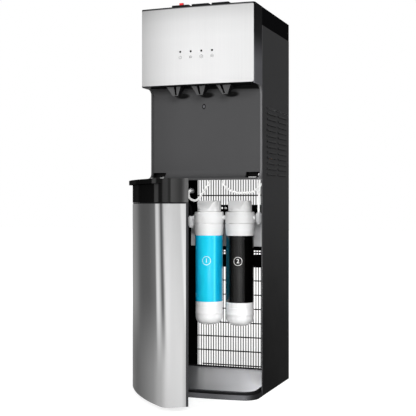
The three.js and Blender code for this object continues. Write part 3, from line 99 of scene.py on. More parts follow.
# ---- Shapes ----
class Bow:
    """A bowed front in plan: a shallow crown that runs smoothly into two round corners."""

    def __init__(self, corner, radius, bow):
        self.radius = radius
        self.x = HALF - radius
        self.crown = (self.x**2 + bow**2) / (2 * bow)
        self.crown_y = corner - bow + self.crown
        self.corner_y = self.crown_y - math.sqrt((self.crown - radius) ** 2 - self.x**2)
        self.lean = math.asin(self.x / (self.crown - radius))

    def line(self, inset=0.0):
        """Points from the left side to the right, set in by inset."""
        start = 1.5 * math.pi - self.lean
        end = 1.5 * math.pi + self.lean
        r = self.radius - inset
        return [
            *arc(-self.x, self.corner_y, r, math.pi, start, 14),
            *arc(0, self.crown_y, self.crown - inset, start, end, 72)[1:-1],
            *arc(self.x, self.corner_y, r, end, 2 * math.pi, 14),
        ]

    def plan(self, inset, back):
        """The same front closed by a straight back."""
        side = HALF - inset
        return [*self.line(inset), (side, back), (-side, back)]

    def y_at(self, x):
        """How far forward the crown lies at x."""
        return self.crown_y - math.sqrt(self.crown**2 - x**2)


def arc(cx, cy, radius, start, end, steps):
    """Points along an arc, with angles in radians."""
    turns = [start + (end - start) * i / steps for i in range(steps + 1)]
    return [(cx + radius * math.cos(a), cy + radius * math.sin(a)) for a in turns]


def full_turn(sides):
    """Angles that divide a full turn."""
    return [2 * math.pi * i / sides for i in range(sides)]


def quarter_turn(steps):
    """Angles from 0 to a right angle."""
    return [math.pi / 2 * i / steps for i in range(steps + 1)]


def on_side(side, a, b):
    """Two distances from the middle, as x on the left (-1) or right (1), the lower first."""
    return sorted((side * a, side * b))


def rounded(x0, x1, y0, y1, radius, steps=6):
    """A rectangle with round corners, as points in a plane."""
    quarter = math.pi / 2
    r = radius
    return [
        *arc(x1 - r, y0 + r, r, -quarter, 0, steps),
        *arc(x1 - r, y1 - r, r, 0, quarter, steps),
        *arc(x0 + r, y1 - r, r, quarter, 2 * quarter, steps),
        *arc(x0 + r, y0 + r, r, 2 * quarter, 3 * quarter, steps),
    ]


def bent(corners, radius, steps=6):
    """A line through corner points, in space, with each corner rounded."""
    points = [Vector(p) for p in corners]
    line = [points[0]]
    for a, b, c in zip(points, points[1:], points[2:]):
        before = (a - b).normalized()
        after = (c - b).normalized()
        for i in range(steps + 1):
            t = i / steps
            line.append(b + before * radius * (1 - t) ** 2 + after * radius * t**2)
    return [*line, points[-1]]


# Matrices that stand a shape drawn in plan on another plane.
FACING = Matrix.Rotation(math.pi / 2, 4, "X")  # plan's y becomes z, its height runs towards -Y
REARWARD = FACING @ Matrix.Scale(-1, 4, (0, 0, 1))  # the same with its height towards +Y
SIDEWAYS = Matrix(((0, 0, 1, 0), (1, 0, 0, 0), (0, 1, 0, 0), (0, 0, 0, 1)))  # x, y, z become y, z, x


class Shape:
    """A closed mesh under construction."""

    def __init__(self, mesh=None):
        self.bm = bmesh.new()
        if mesh:
            self.bm.from_mesh(mesh)

    def skin(self, rings):
        """Joins rings of points with quads and closes both ends."""
        rows = [[self.bm.verts.new(p) for p in ring] for ring in rings]
        count = len(rows[0])
        for low, high in zip(rows, rows[1:]):
            for i in range(count):
                j = (i + 1) % count
                self.bm.faces.new((low[i], low[j], high[j], high[i]))
        self.bm.faces.new(tuple(reversed(rows[0])))
        self.bm.faces.new(tuple(rows[-1]))
        return self

    def prism(self, outline, z0, z1):
        """A closed outline in plan, raised from z0 to z1."""
        return self.skin([[(x, y, z) for x, y in outline] for z in (z0, z1)])

    def box(self, x0, x1, y0, y1, z0, z1):
        return self.prism([(x0, y0), (x1, y0), (x1, y1), (x0, y1)], z0, z1)

    def lathe(self, profile, x=0.0, y=0.0, sides=64):
        """A turned solid about an upright line, from (radius, z) points; end radii may be zero."""
        turn = full_turn(sides)
        self.skin([[(x + r * math.cos(a), y + r * math.sin(a), z) for a in turn] for r, z in profile])
        bmesh.ops.remove_doubles(self.bm, verts=self.bm.verts, dist=1e-7)
        bmesh.ops.dissolve_degenerate(self.bm, edges=self.bm.edges, dist=1e-8)
        return self

    def rod(self, radius, z0, z1, x=0.0, y=0.0, sides=64):
        """An upright cylinder."""
        return self.lathe([(radius, z0), (radius, z1)], x, y, sides)

    def tube(self, points, radius):
        """A round tube through the points, with mitred bends."""
        path = [Vector(p) for p in points]
        turn = full_turn(14)
        rings = []
        side = None
        for i, here in enumerate(path):
            ahead = path[min(i + 1, len(path) - 1)] - path[max(i - 1, 0)]
            ahead.normalize()
            if side is None:
                side = ahead.orthogonal().normalized()
            side = (side - ahead * side.dot(ahead)).normalized()
            other = ahead.cross(side)
            rings.append([here + radius * (math.cos(a) * side + math.sin(a) * other) for a in turn])
        return self.skin(rings)

    def moved(self, matrix):
        self.bm.transform(matrix)
        return self

    def sliced(self, step):
        """Cut into strips across x, so that it can be bent round."""
        edges = [v.co.x for v in self.bm.verts]
        for i in range(math.ceil(min(edges) / step), math.ceil(max(edges) / step)):
            everything = [*self.bm.verts, *self.bm.edges, *self.bm.faces]
            place = {"plane_co": (i * step, 0, 0), "plane_no": (1, 0, 0)}
            bmesh.ops.bisect_plane(self.bm, geom=everything, **place)
        return self

    def wrapped(self, radius):
        """A flat film wrapped on the front of an upright cylinder, its y upright."""
        for vert in self.bm.verts:
            x, y, height = vert.co
            turn = x / radius
            reach = radius + height - INK / 4
            vert.co = (reach * math.sin(turn), -reach * math.cos(turn), y)
        return self

    def combined(self, operation, *tools):
        """This shape cut by, joined to or limited to other shapes."""
        base = self.object("shape")
        others = [tool.object("tool") for tool in tools]
        for other in others:
            boolean = base.modifiers.new("boolean", "BOOLEAN")
            boolean.operation = operation
            boolean.solver = "EXACT"
            boolean.object = other
        result = Shape(evaluated(base))
        for spare in (base, *others):
            remove(spare)
        return result

    def cut(self, *tools):
        return self.combined("DIFFERENCE", *tools)

    def join(self, *tools):
        return self.combined("UNION", *tools)

    def limit(self, *tools):
        return self.combined("INTERSECT", *tools)

    def object(self, name):
        """The shape as an object of the scene, with its faces pointing out."""
        bmesh.ops.recalc_face_normals(self.bm, faces=self.bm.faces)
        mesh = bpy.data.meshes.new(name)
        self.bm.to_mesh(mesh)
        self.bm.free()
        obj = bpy.data.objects.new(name, mesh)
        bpy.context.scene.collection.objects.link(obj)
        return obj


def evaluated(obj):
    """A plain mesh of an object with its modifiers taken in."""
    graph = bpy.context.evaluated_depsgraph_get()
    return bpy.data.meshes.new_from_object(obj.evaluated_get(graph), depsgraph=graph)


def remove(obj):
    """Takes an object and its mesh out of the file."""
    mesh = obj.data
    bpy.data.objects.remove(obj)
    bpy.data.meshes.remove(mesh)


def take_in(obj):
    """Replaces an object's mesh with what its modifiers make of it."""
    old = obj.data
    name = old.name
    obj.data = evaluated(obj)
    obj.modifiers.clear()
    bpy.data.meshes.remove(old)
    obj.data.name = name


def soften(obj, width, segments):
    """Rounds an object's sharp edges and smooths the shading of what is round."""
    if width:
        bevel = obj.modifiers.new("edges", "BEVEL")
        bevel.width = width
        bevel.segments = segments
        bevel.limit_method = "ANGLE"
        bevel.angle_limit = math.radians(CREASE)
        take_in(obj)
    mesh = obj.data
    mesh.polygons.foreach_set("use_smooth", [True] * len(mesh.polygons))
    mesh.set_sharp_from_angle(angle=math.radians(CREASE + 8))
    if width:
        shading = obj.modifiers.new("shading", "WEIGHTED_NORMAL")
        shading.keep_sharp = True
        take_in(obj)


def coat(obj, look):
    """Gives an object its only finish."""
    obj.data.materials.clear()
    obj.data.materials.append(finish(look))


def piece(name, shape, look, body, *stands_for, round_edges=0.0, segments=2):
    """Makes a shape a finished piece that rides on a body and stands for the named solids."""
    obj = shape.object(name)
    soften(obj, round_edges, segments)
    coat(obj, look)
    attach(obj, body)
    if stands_for:
        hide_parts(*stands_for)


def keep(look, *nodes):
    """Gives solids that stay as they are their finish."""
    for node in nodes:
        coat(frame["nodes"][node], look)


# ---- Repeated parts and tubes, by Geometry Nodes ----
class Rule:
    """A Geometry Nodes tree that makes a mesh from named inputs."""

    def __init__(self, name, inputs):
        self.tree = bpy.data.node_groups.new(name, "GeometryNodeTree")
        for label, kind in inputs.items():
            self.tree.interface.new_socket(name=label, in_out="INPUT", socket_type="NodeSocket" + kind)
        self.tree.interface.new_socket(name="Result", in_out="OUTPUT", socket_type="NodeSocketGeometry")
        self.given = self.tree.nodes.new("NodeGroupInput").outputs

    def node(self, kind, settings, inputs, output=0):
        made = self.tree.nodes.new("GeometryNode" + kind)
        for key, value in settings.items():
            setattr(made, key, value)
        for key, value in inputs.items():
            if isinstance(value, bpy.types.NodeSocket):
                self.tree.links.new(value, made.inputs[key])
            else:
                made.inputs[key].default_value = value
        return made.outputs[output]

    def close(self, geometry):
        """Ends the tree with plain geometry in its finish."""
        whole = self.node("RealizeInstances", {}, {"Geometry": geometry})
        dressed = self.node("SetMaterial", {}, {"Geometry": whole, "Material": self.given["Finish"]})
        self.tree.links.new(dressed, self.tree.nodes.new("NodeGroupOutput").inputs[0])
        return self.tree


def rows_rule():
    """Copies of a part in columns and rows."""
    counts = {"Part": "Object", "Columns": "Int", "Rows": "Int"}
    vectors = dict.fromkeys(("First", "Column Step", "Row Step"), "Vector")
    rule = Rule("parts_in_rows", {**counts, **vectors, "Finish": "Material"})
    given = rule.given

    def line(count, start, step):
        inputs = {"Count": given[count], "Start Location": start, "Offset": given[step]}
        return rule.node("MeshLine", {"mode": "OFFSET"}, inputs)

    across = line("Columns", given["First"], "Column Step")
    along = line("Rows", (0, 0, 0), "Row Step")
    grid = rule.node("InstanceOnPoints", {}, {"Points": across, "Instance": along})
    places = rule.node("RealizeInstances", {}, {"Geometry": grid})
    part = rule.node("ObjectInfo", {}, {"Object": given["Part"]}, "Geometry")
    return rule.close(rule.node("InstanceOnPoints", {}, {"Points": places, "Instance": part}))


def route_rule():
    """A round tube along a line of points."""
    numbers = {"Radius": "Float", "Sides": "Int", "Step": "Float"}
    rule = Rule("tube_along_route", {"Route": "Geometry", **numbers, "Finish": "Material"})
    given = rule.given
    line = rule.node("MeshToCurve", {}, {"Mesh": given["Route"]})
    smooth = rule.node("CurveSplineType", {"spline_type": "CATMULL_ROM"}, {"Curve": line})
    even = rule.node("ResampleCurve", {"mode": "LENGTH"}, {"Curve": smooth, "Length": given["Step"]})
    circle = {"Resolution": given["Sides"], "Radius": given["Radius"]}
    section = rule.node("CurvePrimitiveCircle", {}, circle)
    wall = rule.node("CurveToMesh", {}, {"Curve": even, "Profile Curve": section, "Fill Caps": True})
    return rule.close(wall)


def made_by(rule, host, values):
    """Runs a rule on a host object and leaves the plain mesh that it makes."""
    tree = bpy.data.node_groups.get(rule.__name__) or rule()
    tree.name = rule.__name__
    nodes = host.modifiers.new("rule", "NODES")
    nodes.node_group = tree
    for item in tree.interface.items_tree:
        if item.in_out == "INPUT" and item.name in values:
            nodes[item.identifier] = values[item.name]
    take_in(host)
    shape = Shape(host.data)
    remove(host)
    return shape


def repeat(name, part, look, body, first, column_step, columns, row_step=(0, 0, 0), rows=1):
    """One piece made of copies of a part, set out in columns and rows."""
    template = part.object("part")
    values = {
        "Part": template,
        "Columns": columns,
        "Rows": rows,
        "First": first,
        "Column Step": column_step,
        "Row Step": row_step,
        "Finish": finish(look),
    }
    copies = made_by(rows_rule, Shape().box(0, MM, 0, MM, 0, MM).object(name), values)
    remove(template)
    piece(name, copies, look, body)


def tube(name, points, radius, look, body, *stands_for):
    """A round tube along a route of points, in millimetres."""
    mesh = bpy.data.meshes.new(name)
    steps = [(i, i + 1) for i in range(len(points) - 1)]
    mesh.from_pydata([Vector(p) * MM for p in points], steps, [])
    host = bpy.data.objects.new(name, mesh)
    bpy.context.scene.collection.objects.link(host)
    values = {"Radius": radius, "Sides": 16, "Step": 4 * MM, "Finish": finish(look)}
    piece(name, made_by(route_rule, host, values), look, body, *stands_for)


# ---- Finishes ----
class Value:
    """A socket in a node tree; sums on it add Math nodes."""

    def __init__(self, nodes, socket):
        self.nodes = nodes
        self.socket = socket

    def _math(self, operation, *values):
        return self.nodes.node("ShaderNodeMath", {"operation": operation}, dict(enumerate(values)))

    def __add__(self, other):
        return self._math("ADD", self, other)

    def __radd__(self, other):
        return self._math("ADD", other, self)

    def __sub__(self, other):
        return self._math("SUBTRACT", self, other)

    def __rsub__(self, other):
        return self._math("SUBTRACT", other, self)

    def __mul__(self, other):
        return self._math("MULTIPLY", self, other)

    def __rmul__(self, other):
        return self._math("MULTIPLY", other, self)

    def __gt__(self, other):
        return self._math("GREATER_THAN", self, other)

    def __lt__(self, other):
        return self._math("LESS_THAN", self, other)

    def __abs__(self):
        return self._math("ABSOLUTE", self)

    def most(self, other):
        """The larger of this value and another."""
        return self._math("MAXIMUM", self, other)


class Nodes:
    """The node tree of a material or of the world."""

    def __init__(self, owner):
        owner.use_nodes = True
        self.tree = owner.node_tree
        self.tree.nodes.clear()

    def _feed(self, node, key, value):
        if isinstance(key, str):
            socket = next(s for s in node.inputs if key in (s.identifier, s.name))
        else:
            socket = node.inputs[key]
        if isinstance(value, Value):
            self.tree.links.new(value.socket, socket)
        else:
            socket.default_value = value

    def node(self, kind, settings, inputs, output=0):
        """Adds a node: its settings first, then the values or links of its sockets.

        It gives back the output asked for, or the node itself where output is None.
        """
        made = self.tree.nodes.new(kind)
        for key, value in settings.items():
            if key == "stops":
                ramp = made.color_ramp.elements
                while len(ramp) < len(value):
                    ramp.new(1.0)
                for stop, (position, level) in zip(ramp, value):
                    stop.position = position
                    stop.color = level if isinstance(level, tuple) else (level, level, level, 1)
            else:
                setattr(made, key, value)
        for key, value in inputs.items():
            self._feed(made, key, value)
        if output is None:
            return made
        if isinstance(output, str):
            return Value(self, next(s for s in made.outputs if output in (s.identifier, s.name)))
        return Value(self, made.outputs[output])

    def place(self, **mapping):
        """Where a point lies on the object, in metres, shifted, turned or scaled as asked."""
        spot = self.node("ShaderNodeTexCoord", {}, {}, "Object")
        if not mapping:
            return spot
        inputs = {"Vector": spot, **{key.title(): value for key, value in mapping.items()}}
        return self.node("ShaderNodeMapping", {}, inputs)

    def noise(self, spot, scale, detail=2.0, roughness=0.5):
        inputs = {"Vector": spot, "Scale": scale, "Detail": detail, "Roughness": roughness}
        return self.node("ShaderNodeTexNoise", {}, inputs, "Fac")

    def part(self, vector, axis):
        """One of a vector's three values, by its letter."""
        return self.node("ShaderNodeSeparateXYZ", {}, {"Vector": vector}, axis)

    def ramp(self, value, stops):
        return self.node("ShaderNodeValToRGB", {"stops": stops}, {"Fac": value}, "Color")

    def span(self, value, low, high, ease="SMOOTHSTEP"):
        """How far a value lies between two limits, from 0 to 1."""
        inputs = {"Value": value, "From Min": low, "From Max": high}
        return self.node("ShaderNodeMapRange", {"interpolation_type": ease}, inputs)

    def mix(self, share, first, second, blend="MIX"):
        settings = {"data_type": "RGBA", "blend_type": blend}
        inputs = {"Factor_Float": share, "A_Color": first, "B_Color": second}
        return self.node("ShaderNodeMix", settings, inputs, "Result_Color")

    def times(self, first, second):
        """Two colours multiplied."""
        return self.mix(1.0, first, second, "MULTIPLY")

    def shades(self, colour, share, spread):
        """A colour that drifts between a darker and a lighter shade of itself."""
        return self.mix(share, tone(colour, 1 - spread), tone(colour, 1 + spread))

    def relief(self, height, distance, strength=1.0):
        inputs = {"Strength": strength, "Distance": distance, "Height": height}
        return self.node("ShaderNodeBump", {}, inputs)

    def seen(self):
        """Whether light goes to the camera, straight or by a mirror or glass."""
        rays = self.node("ShaderNodeLightPath", {}, {}, None).outputs
        kinds = ("Camera", "Glossy", "Transmission")
        camera, mirror, glass = (Value(self, rays[f"Is {kind} Ray"]) for kind in kinds)
        return camera + mirror + glass


class Surface(Nodes):
    """One material with its single shader."""

    def __init__(self, name):
        self.material = bpy.data.materials.new(name)
        super().__init__(self.material)
        self.shader = self.node("ShaderNodeBsdfPrincipled", {}, {}, None)
        light = Value(self, self.shader.outputs[0])
        self.node("ShaderNodeOutputMaterial", {}, {"Surface": light}, None)

    def shade(self, values):
        """Sets or links the shader's own sockets."""
        for key, value in values.items():
            self._feed(self.shader, key, value)
        return self.material


def tone(colour, level):
    """A colour as four numbers, at a level of its brightness."""
    return (*(min(1.0, c * level) for c in colour[:3]), 1.0)


MAKERS = {}
FINISHES = {}


def finish(name):
    """The material of that name, made when it is first asked for."""
    if name not in FINISHES:
        FINISHES[name] = MAKERS[name](Surface(name), bpy.context.scene.cooler_colours)
    return FINISHES[name]


def maker(name):
    """Files a function that makes a finish under its name."""

    def note(function):
        MAKERS[name] = function
        return function

    return note


def moulded(surface, colour, roughness, grain, specular, depth=0.03 * MM, spread=0.12):
    """Moulded plastic or paint: fine grain in the surface and a faint unevenness of its gloss."""
    spot = surface.place()
    cloud = surface.noise(spot, 9.0, 3.0)
    fine = surface.noise(spot, grain, 2.0)
    if isinstance(colour, Value):
        base = surface.times(colour, surface.shades((0.9, 0.9, 0.9), cloud, spread))
    else:
        base = surface.shades(colour, cloud, spread)
    return surface.shade(
        {
            "Base Color": base,
            "Roughness": roughness + (cloud - 0.5) * 0.16,
            "Specular IOR Level": specular,
            "Normal": surface.relief(fine, depth),
        }
    )


def plain(name, slot, key, level, *look):
    """Files a moulded finish in one even colour, at a level of its brightness."""

    @maker(name)
    def even(surface, colours):
        return moulded(surface, tone(getattr(colours, key), level), *look)


for row in (  # name, slot, colour, its level, roughness, grain, specular level, depth of the grain
    ("wire_black", None, "wires", 1, 0.5, 700, 0.004),
    ("wire_rear", "wire_black", "rear_wires", 1, 0.5, 700, 0.004),
    ("cover_black", "gloss_black", "gloss_black", 0.8, 0.2, 260, 0.0, 0.01 * MM),
    ("satin_black", None, "satin_black", 1, 0.42, 1100, 0.01),
    ("tube_black", "satin_black", "satin_black", 0.6, 0.4, 500, 0.01, 0.02 * MM),
    ("spout_grey", None, "spouts", 1, 0.35, 900, 0.15),
    ("foam", None, "foam", 1, 0.9, 350, 0.2, 0.6 * MM),
    ("compressor_black", None, "compressor", 1, 0.35, 180, 0.4, 0.08 * MM),
    ("signal_red", None, "red", 1, 0.3, 900, 0.5),
    ("switch_blue", None, "blue", 1, 0.3, 900, 0.5),
    ("switch_green", None, "green", 1, 0.3, 900, 0.5),
    ("pictogram_grey", "tray_grey", "pictograms", 1, 0.5, 900, 0.02),
    ("lamp_dark", "clear_lens", "lamps", 1, 0.3, 600, 0.0, 0.01 * MM),
    ("clear_lens", None, "lens", 1, 0.12, 600, 0.6, 0.01 * MM),
    ("print_white", "white_plastic", "white", 1, 0.35, 600, 0.4, 0.01 * MM),
):
    plain(*row)


@maker("black_steel")
def _black_steel(surface, colours):
    """Textured paint with painted light: lighter towards the top, painted highlights along the front and
    rear edges, and painted shade, all but black, inside the cabinet.
    """
    spot = surface.place()
    grey = colours.side_panels
    # Painted shade: darker towards the foot.
    height = surface.span(surface.part(spot, "Z"), 0.12, 0.62)
    depth = surface.part(spot, "Y")
    side = abs(surface.part(spot, "X"))
    paint = surface.mix(height, tone(grey, 0.07), tone(grey, 1.0))
    # Painted highlights along the panels' front and rear edges.
    front = surface.span(depth, PANEL_FRONT + 4.5 * MM, PANEL_FRONT + 1 * MM)
    rear = depth > BACK - 1.7 * MM
    paint = surface.mix(rear + front * 0.5, paint, tone(grey, 4.5))
    # Painted shade inside the cabinet, all but black.
    inner = (side < HALF - 0.7 * MM) * (depth < BACK - 1.2 * MM) * (depth > PANEL_FRONT + 0.3 * MM)
    paint = surface.mix(inner, paint, tone(grey, 0.05))
    return moulded(surface, paint, 0.5, 1400, 0.005, 0.05 * MM)


@maker("head_black")
def _head_black(surface, colours):
    """Gloss black with a painted sheen on the head's cheeks that grows towards the foot, and a painted
    highlight along their lower edge.
    """
    spot = surface.place()
    black = colours.gloss_black
    height = surface.part(spot, "Z")
    side = abs(surface.part(spot, "X"))
    tall = HEAD.z1 - HEAD.z0
    # Painted sheen: reflections on the cheeks that grow brighter towards the foot.
    low = surface.span(height, HEAD.z0 + 0.66 * tall, HEAD.z0 + 0.22 * tall)
    high = surface.span(height, HEAD.z1 - 4 * MM, HEAD.z0 + 0.4 * tall)
    painted_sheen = surface.mix(high, tone(black, 0.6), tone(black, 2.6))
    painted_sheen = surface.mix(low, painted_sheen, tone(black, 17.0))
    # Painted highlight along the cheeks' lower edge.
    rim = (side > HALF - 2 * MM) * (height < HEAD.z0 + 1.6 * MM)
    painted_sheen = surface.mix(rim, painted_sheen, tone(black, 26.0))
    cheek = side > HALF - 4 * MM
    return moulded(surface, surface.mix(cheek, tone(black, 1.0), painted_sheen), 0.2, 260, 0.001, 0.01 * MM)


@maker("housing_black")
def _housing_black(surface, colours):
    """Gloss black with painted reflections: soft upright bands that follow round its bowed wall."""
    # Painted reflections, as (place round the door in millimetres, level) stops.
    stops = [
        (-285, 0.0085), (-215, 0.008), (-198, 0.0032), (-76, 0.0032), (-70, 0.028), (-50, 0.028),
        (-42, 0.0045), (-25, 0.0045), (-19, 0.0175), (-3, 0.0185), (1, 0.0105), (6, 0.0105), (9, 0.036),
        (17, 0.032), (31, 0.0195), (36, 0.022), (40, 0.042), (45, 0.068),
    ]
    return moulded(surface, bands(surface, round_door(surface), stops), 0.2, 260, 0.0, 0.01 * MM, 0.06)


@maker("door_lining")
def _door_lining(surface, colours):
    """Satin black with a paler strip along the door's free edges."""
    black = colours.satin_black
    edge = abs(surface.part(closed_place(surface), "X")) > HALF - 0.5 * MM
    return moulded(surface, surface.mix(edge, tone(black, 1.0), tone(black, 3.2)), 0.42, 1100, 0.001)


@maker("base_black")
def _base_black(surface, colours):
    """Satin black with a painted sheen on the lower band and a painted highlight along the edge of the
    step above it, both fainter towards the ends.
    """
    spot = surface.place()
    black = colours.satin_black
    height = surface.part(spot, "Z")
    # Painted sheen and highlight, fainter towards the ends.
    ends = surface.span(abs(surface.part(spot, "X")), 0.8 * HALF, 0.97 * HALF)
    painted_sheen = surface.mix(ends, tone(black, 10), tone(black, 2))
    painted_sheen_share = (height < BASE_BAND - 0.3 * MM) + (height > BASE.z1 - 1.9 * MM) * (height < BASE.z1 - 0.9 * MM)
    return moulded(surface, surface.mix(painted_sheen_share, tone(black, 1.0), painted_sheen), 0.42, 1100, 0.001)


@maker("alcove_grey")
def _alcove_grey(surface, colours):
    """Dark grey with painted light: a highlight on the right rim, and painted shade to the left, under
    the head, as a shadow behind each spout and in the pockets.
    """
    spot = surface.place()
    base = colours.alcove
    side = surface.part(spot, "X")
    height = surface.part(spot, "Z")
    # Painted highlight on the right rim; painted shade towards the left and along the left edge.
    rim = surface.span(side, INSIDE - RIM - 0.4 * MM, INSIDE)
    left = surface.span(side, -INSIDE, -0.4 * INSIDE)
    grey = surface.mix(left, tone(base, 0.84), tone(base, 1.0))
    grey = surface.mix(rim, grey, tone(base, 3.2))
    grey = surface.mix(side < 1.5 * MM - INSIDE, grey, tone(base, 0.25))
    # Painted shade, nearly black: under the head, in the pockets and as a shadow behind each spout.
    reach = surface.span(side, -INSIDE, INSIDE, "LINEAR") * (10.5 * MM) - 2.5 * MM
    under = surface.span(height + reach, HEAD.z0 - 1.5 * MM, HEAD.z0 + 0.1 * MM) * (side < INSIDE - RIM)
    inner = surface.part(spot, "Y") > ALCOVE_FACE + 1 * MM
    repeats = {0: side - 4.5 * MM, 1: FAUCET_PITCH / 2}
    beside = surface.node("ShaderNodeMath", {"operation": "PINGPONG"}, repeats)
    half_width, half_height, below = SPOUT_SHADE
    across = beside * (1 / half_width)
    level = (height - HEAD.z0 + below) * (1 / half_height)
    spout_shadow = surface.span(across * across + level * level, 1.7, 0.4)
    spout_shadow = spout_shadow * (side > -1.5 * FAUCET_PITCH) * (side < 1.5 * FAUCET_PITCH)
    black = surface.mix(spout_shadow, tone(base, 0.08), tone(base, 0.02))
    dark = inner.most(under).most(spout_shadow)
    return moulded(surface, surface.mix(dark, grey, black), 0.5, 1300, 0.08, 0.05 * MM, 0.04)


@maker("tray_grey")
def _tray_grey(surface, colours):
    """Pale grey with painted light: darker towards the left and the front, in the open door's shadow, and
    brighter towards the right.
    """
    spot = surface.place()
    slant = math.radians(20)
    across = surface.part(spot, "X") * math.cos(slant) + surface.part(spot, "Y") * math.sin(slant)
    # Painted light and shade across the plate: darker to the left, brighter to the right.
    stops = [
        (-90, 0.3), (-45, 0.45), (-35, 0.7), (-27, 0.73), (-19, 0.78), (-11, 0.87), (5, 1.06),
        (30, 1.3), (54, 1.53), (86, 2.05), (111, 2.35), (135, 2.45),
    ]
    # Painted shade towards the front.
    depth = surface.span(surface.part(spot, "Y"), FRONT, -0.2 * HALF)
    painted_light = bands(surface, across * (1 / MM), stops)
    grey = surface.times(tone(colours.floor_plate, 1.0), painted_light)
    grey = surface.times(grey, surface.mix(depth, (0.76, 0.76, 0.76, 1), (1, 1, 1, 1)))
    grain = surface.noise(spot, 900, 2.0)
    look = {"Base Color": grey, "Roughness": 0.26 + grain * 0.08}
    return surface.shade({**look, "Normal": surface.relief(grain, 0.03 * MM)})


@maker("white_plastic")
def _white_plastic(surface, colours):
    """White with painted shade on the filter heads, most of all on the right one."""
    spot = surface.place()
    # Painted shade on the filter heads, deeper on the right one.
    height = surface.span(surface.part(spot, "Z"), 0.40, 0.50)
    side = surface.span(surface.part(spot, "X"), -20 * MM, 20 * MM)
    head = surface.mix(side, tone(colours.white, 0.94), tone(colours.white, 0.76))
    white = surface.mix(height, tone(colours.white, 1.0), head)
    return moulded(surface, white, 0.3, 600, 0.4, 0.015 * MM, 0.03)


@maker("tube_white")
def _tube_white(surface, colours):
    surface.shade({"Transmission Weight": 0.4, "IOR": 1.3})
    # Painted light: a faint glow that keeps the milky tubes bright in the shade of the bay.
    surface.shade({"Emission Color": (1, 1, 1, 1), "Emission Strength": 0.3})
    return moulded(surface, colours.tubes, 0.28, 500, 0.5, 0.02 * MM)


@maker("fitting_grey")
def _fitting_grey(surface, colours):
    """Pale grey, with painted shade on the bracket where the two filter heads all but meet."""
    middle = surface.span(abs(surface.part(surface.place(), "X")), 45 * MM, 40 * MM)
    grey = surface.mix(middle, tone(colours.fittings, 1.0), tone(colours.fittings, 0.3))
    return moulded(surface, grey, 0.35, 800, 0.5)


def metal(name, key, roughness, scale, spread):
    """Files a plain metal with faint marks and stains."""

    @maker(name)
    def stained(surface, colours):
        spot = surface.place()
        cloud = surface.noise(spot, scale, 4.0, 0.6)
        fine = surface.noise(spot, 60 * scale, 2.0)
        return surface.shade(
            {
                "Base Color": surface.shades(getattr(colours, key), cloud, spread),
                "Metallic": 1.0,
                "Roughness": roughness + (cloud - 0.5) * 0.25,
                "Normal": surface.relief(fine, 0.02 * MM),
            }
        )


metal("zinc_plate", "zinc", 0.42, 26, 0.22)
metal("stainless", "stainless", 0.26, 14, 0.1)
metal("copper", "copper", 0.34, 30, 0.2)


def worn(surface, spot, level):
    """Plated steel, as bright as level says, which carries its painted light and shade."""
    gloss = 0.3 + surface.noise(spot, 40) * 0.1
    return surface.shade({"Base Color": level, "Metallic": 1.0, "Roughness": gloss})


@maker("hinge_plate")
def _hinge_plate(surface, colours):
    """Plated steel with painted shade, nearly black, in its pocket, and painted highlights at its outer
    ends.
    """
    spot = surface.place()
    box = Box("hinge_bracket")
    along = surface.span(surface.part(spot, "X"), box.x0, box.x1, "LINEAR")
    stops = [(0.0, 0.5), (0.12, 0.25), (0.2, 0.03), (0.7, 0.02), (0.8, 0.5), (1.0, 0.75)]
    return worn(surface, spot, surface.ramp(along, stops))


@maker("strike_plate")
def _strike_plate(surface, colours):
    """Plated steel with painted shade, nearly black, on its upright part."""
    spot = surface.place()
    painted_lit = (surface.part(spot, "Y") < Box("door_catch").y1 - 2.4 * MM) * 0.9
    return worn(surface, spot, painted_lit + 0.01)


def closed_place(surface):
    """Where a point of the open door lies when the door is closed."""
    closed = SWUNG.inverted()
    return surface.place(location=closed.to_translation(), rotation=(0, 0, OPEN))


def brushed(surface, colour, spot, light, glance=1.0):
    """Brushed steel with an upright grain: light is its painted reflection, which says how bright, and
    glance how much so from the side.
    """
    scales = ((1100, 1100, 9), (260, 260, 3))
    inputs = [{"Vector": spot, "Scale": scale} for scale in scales]
    fine, coarse = (surface.noise(surface.node("ShaderNodeMapping", {}, i), 1) for i in inputs)
    streaks = fine * 0.6 + coarse * 0.4
    return surface.shade(
        {
            "Base Color": surface.times(surface.shades(colour, streaks, 0.08), light),
            "Metallic": 1.0,
            "Specular Tint": (glance, glance, glance, 1),
            "Roughness": 0.24 + streaks * 0.16,
            "Normal": surface.relief(fine, 0.02 * MM, 0.5),
        }
    )


@maker("brushed_fascia")
def _brushed_fascia(surface, colours):
    spot = surface.place()
    across = surface.span(surface.part(spot, "X"), -HALF, HALF, "LINEAR")
    height = surface.span(surface.part(spot, "Z"), HEAD.z0, HEAD.z1, "LINEAR")
    # Painted reflections: darker to the left and in a strip along the top.
    wide = [(0.0, 0.52), (0.1, 0.66), (0.2, 0.76), (0.3, 0.83), (0.45, 0.88), (0.72, 0.89), (1.0, 0.85)]
    tall = [(0.0, 0.96), (0.15, 1.0), (0.6, 1.0), (0.8, 0.93), (0.976, 0.76), (0.98, 0.15)]
    light = surface.times(surface.ramp(across, wide), surface.ramp(height, tall))
    return brushed(surface, colours.fascia, spot, light)


def round_door(surface, height_lean=0.0):
    """How far a point lies round the closed door's front, in millimetres: x and y added."""
    spot = closed_place(surface)
    x, y, z = (surface.part(spot, axis) for axis in "XYZ")
    return (x + y + z * height_lean) * (1 / MM)


def bands(surface, spot, stops):
    """A grey level that follows (place, level) stops, with the places in millimetres."""
    first, last = stops[0][0], stops[-1][0]
    share = surface.span(spot, first, last, "LINEAR")
    return surface.ramp(share, [((place - first) / (last - first), level) for place, level in stops])


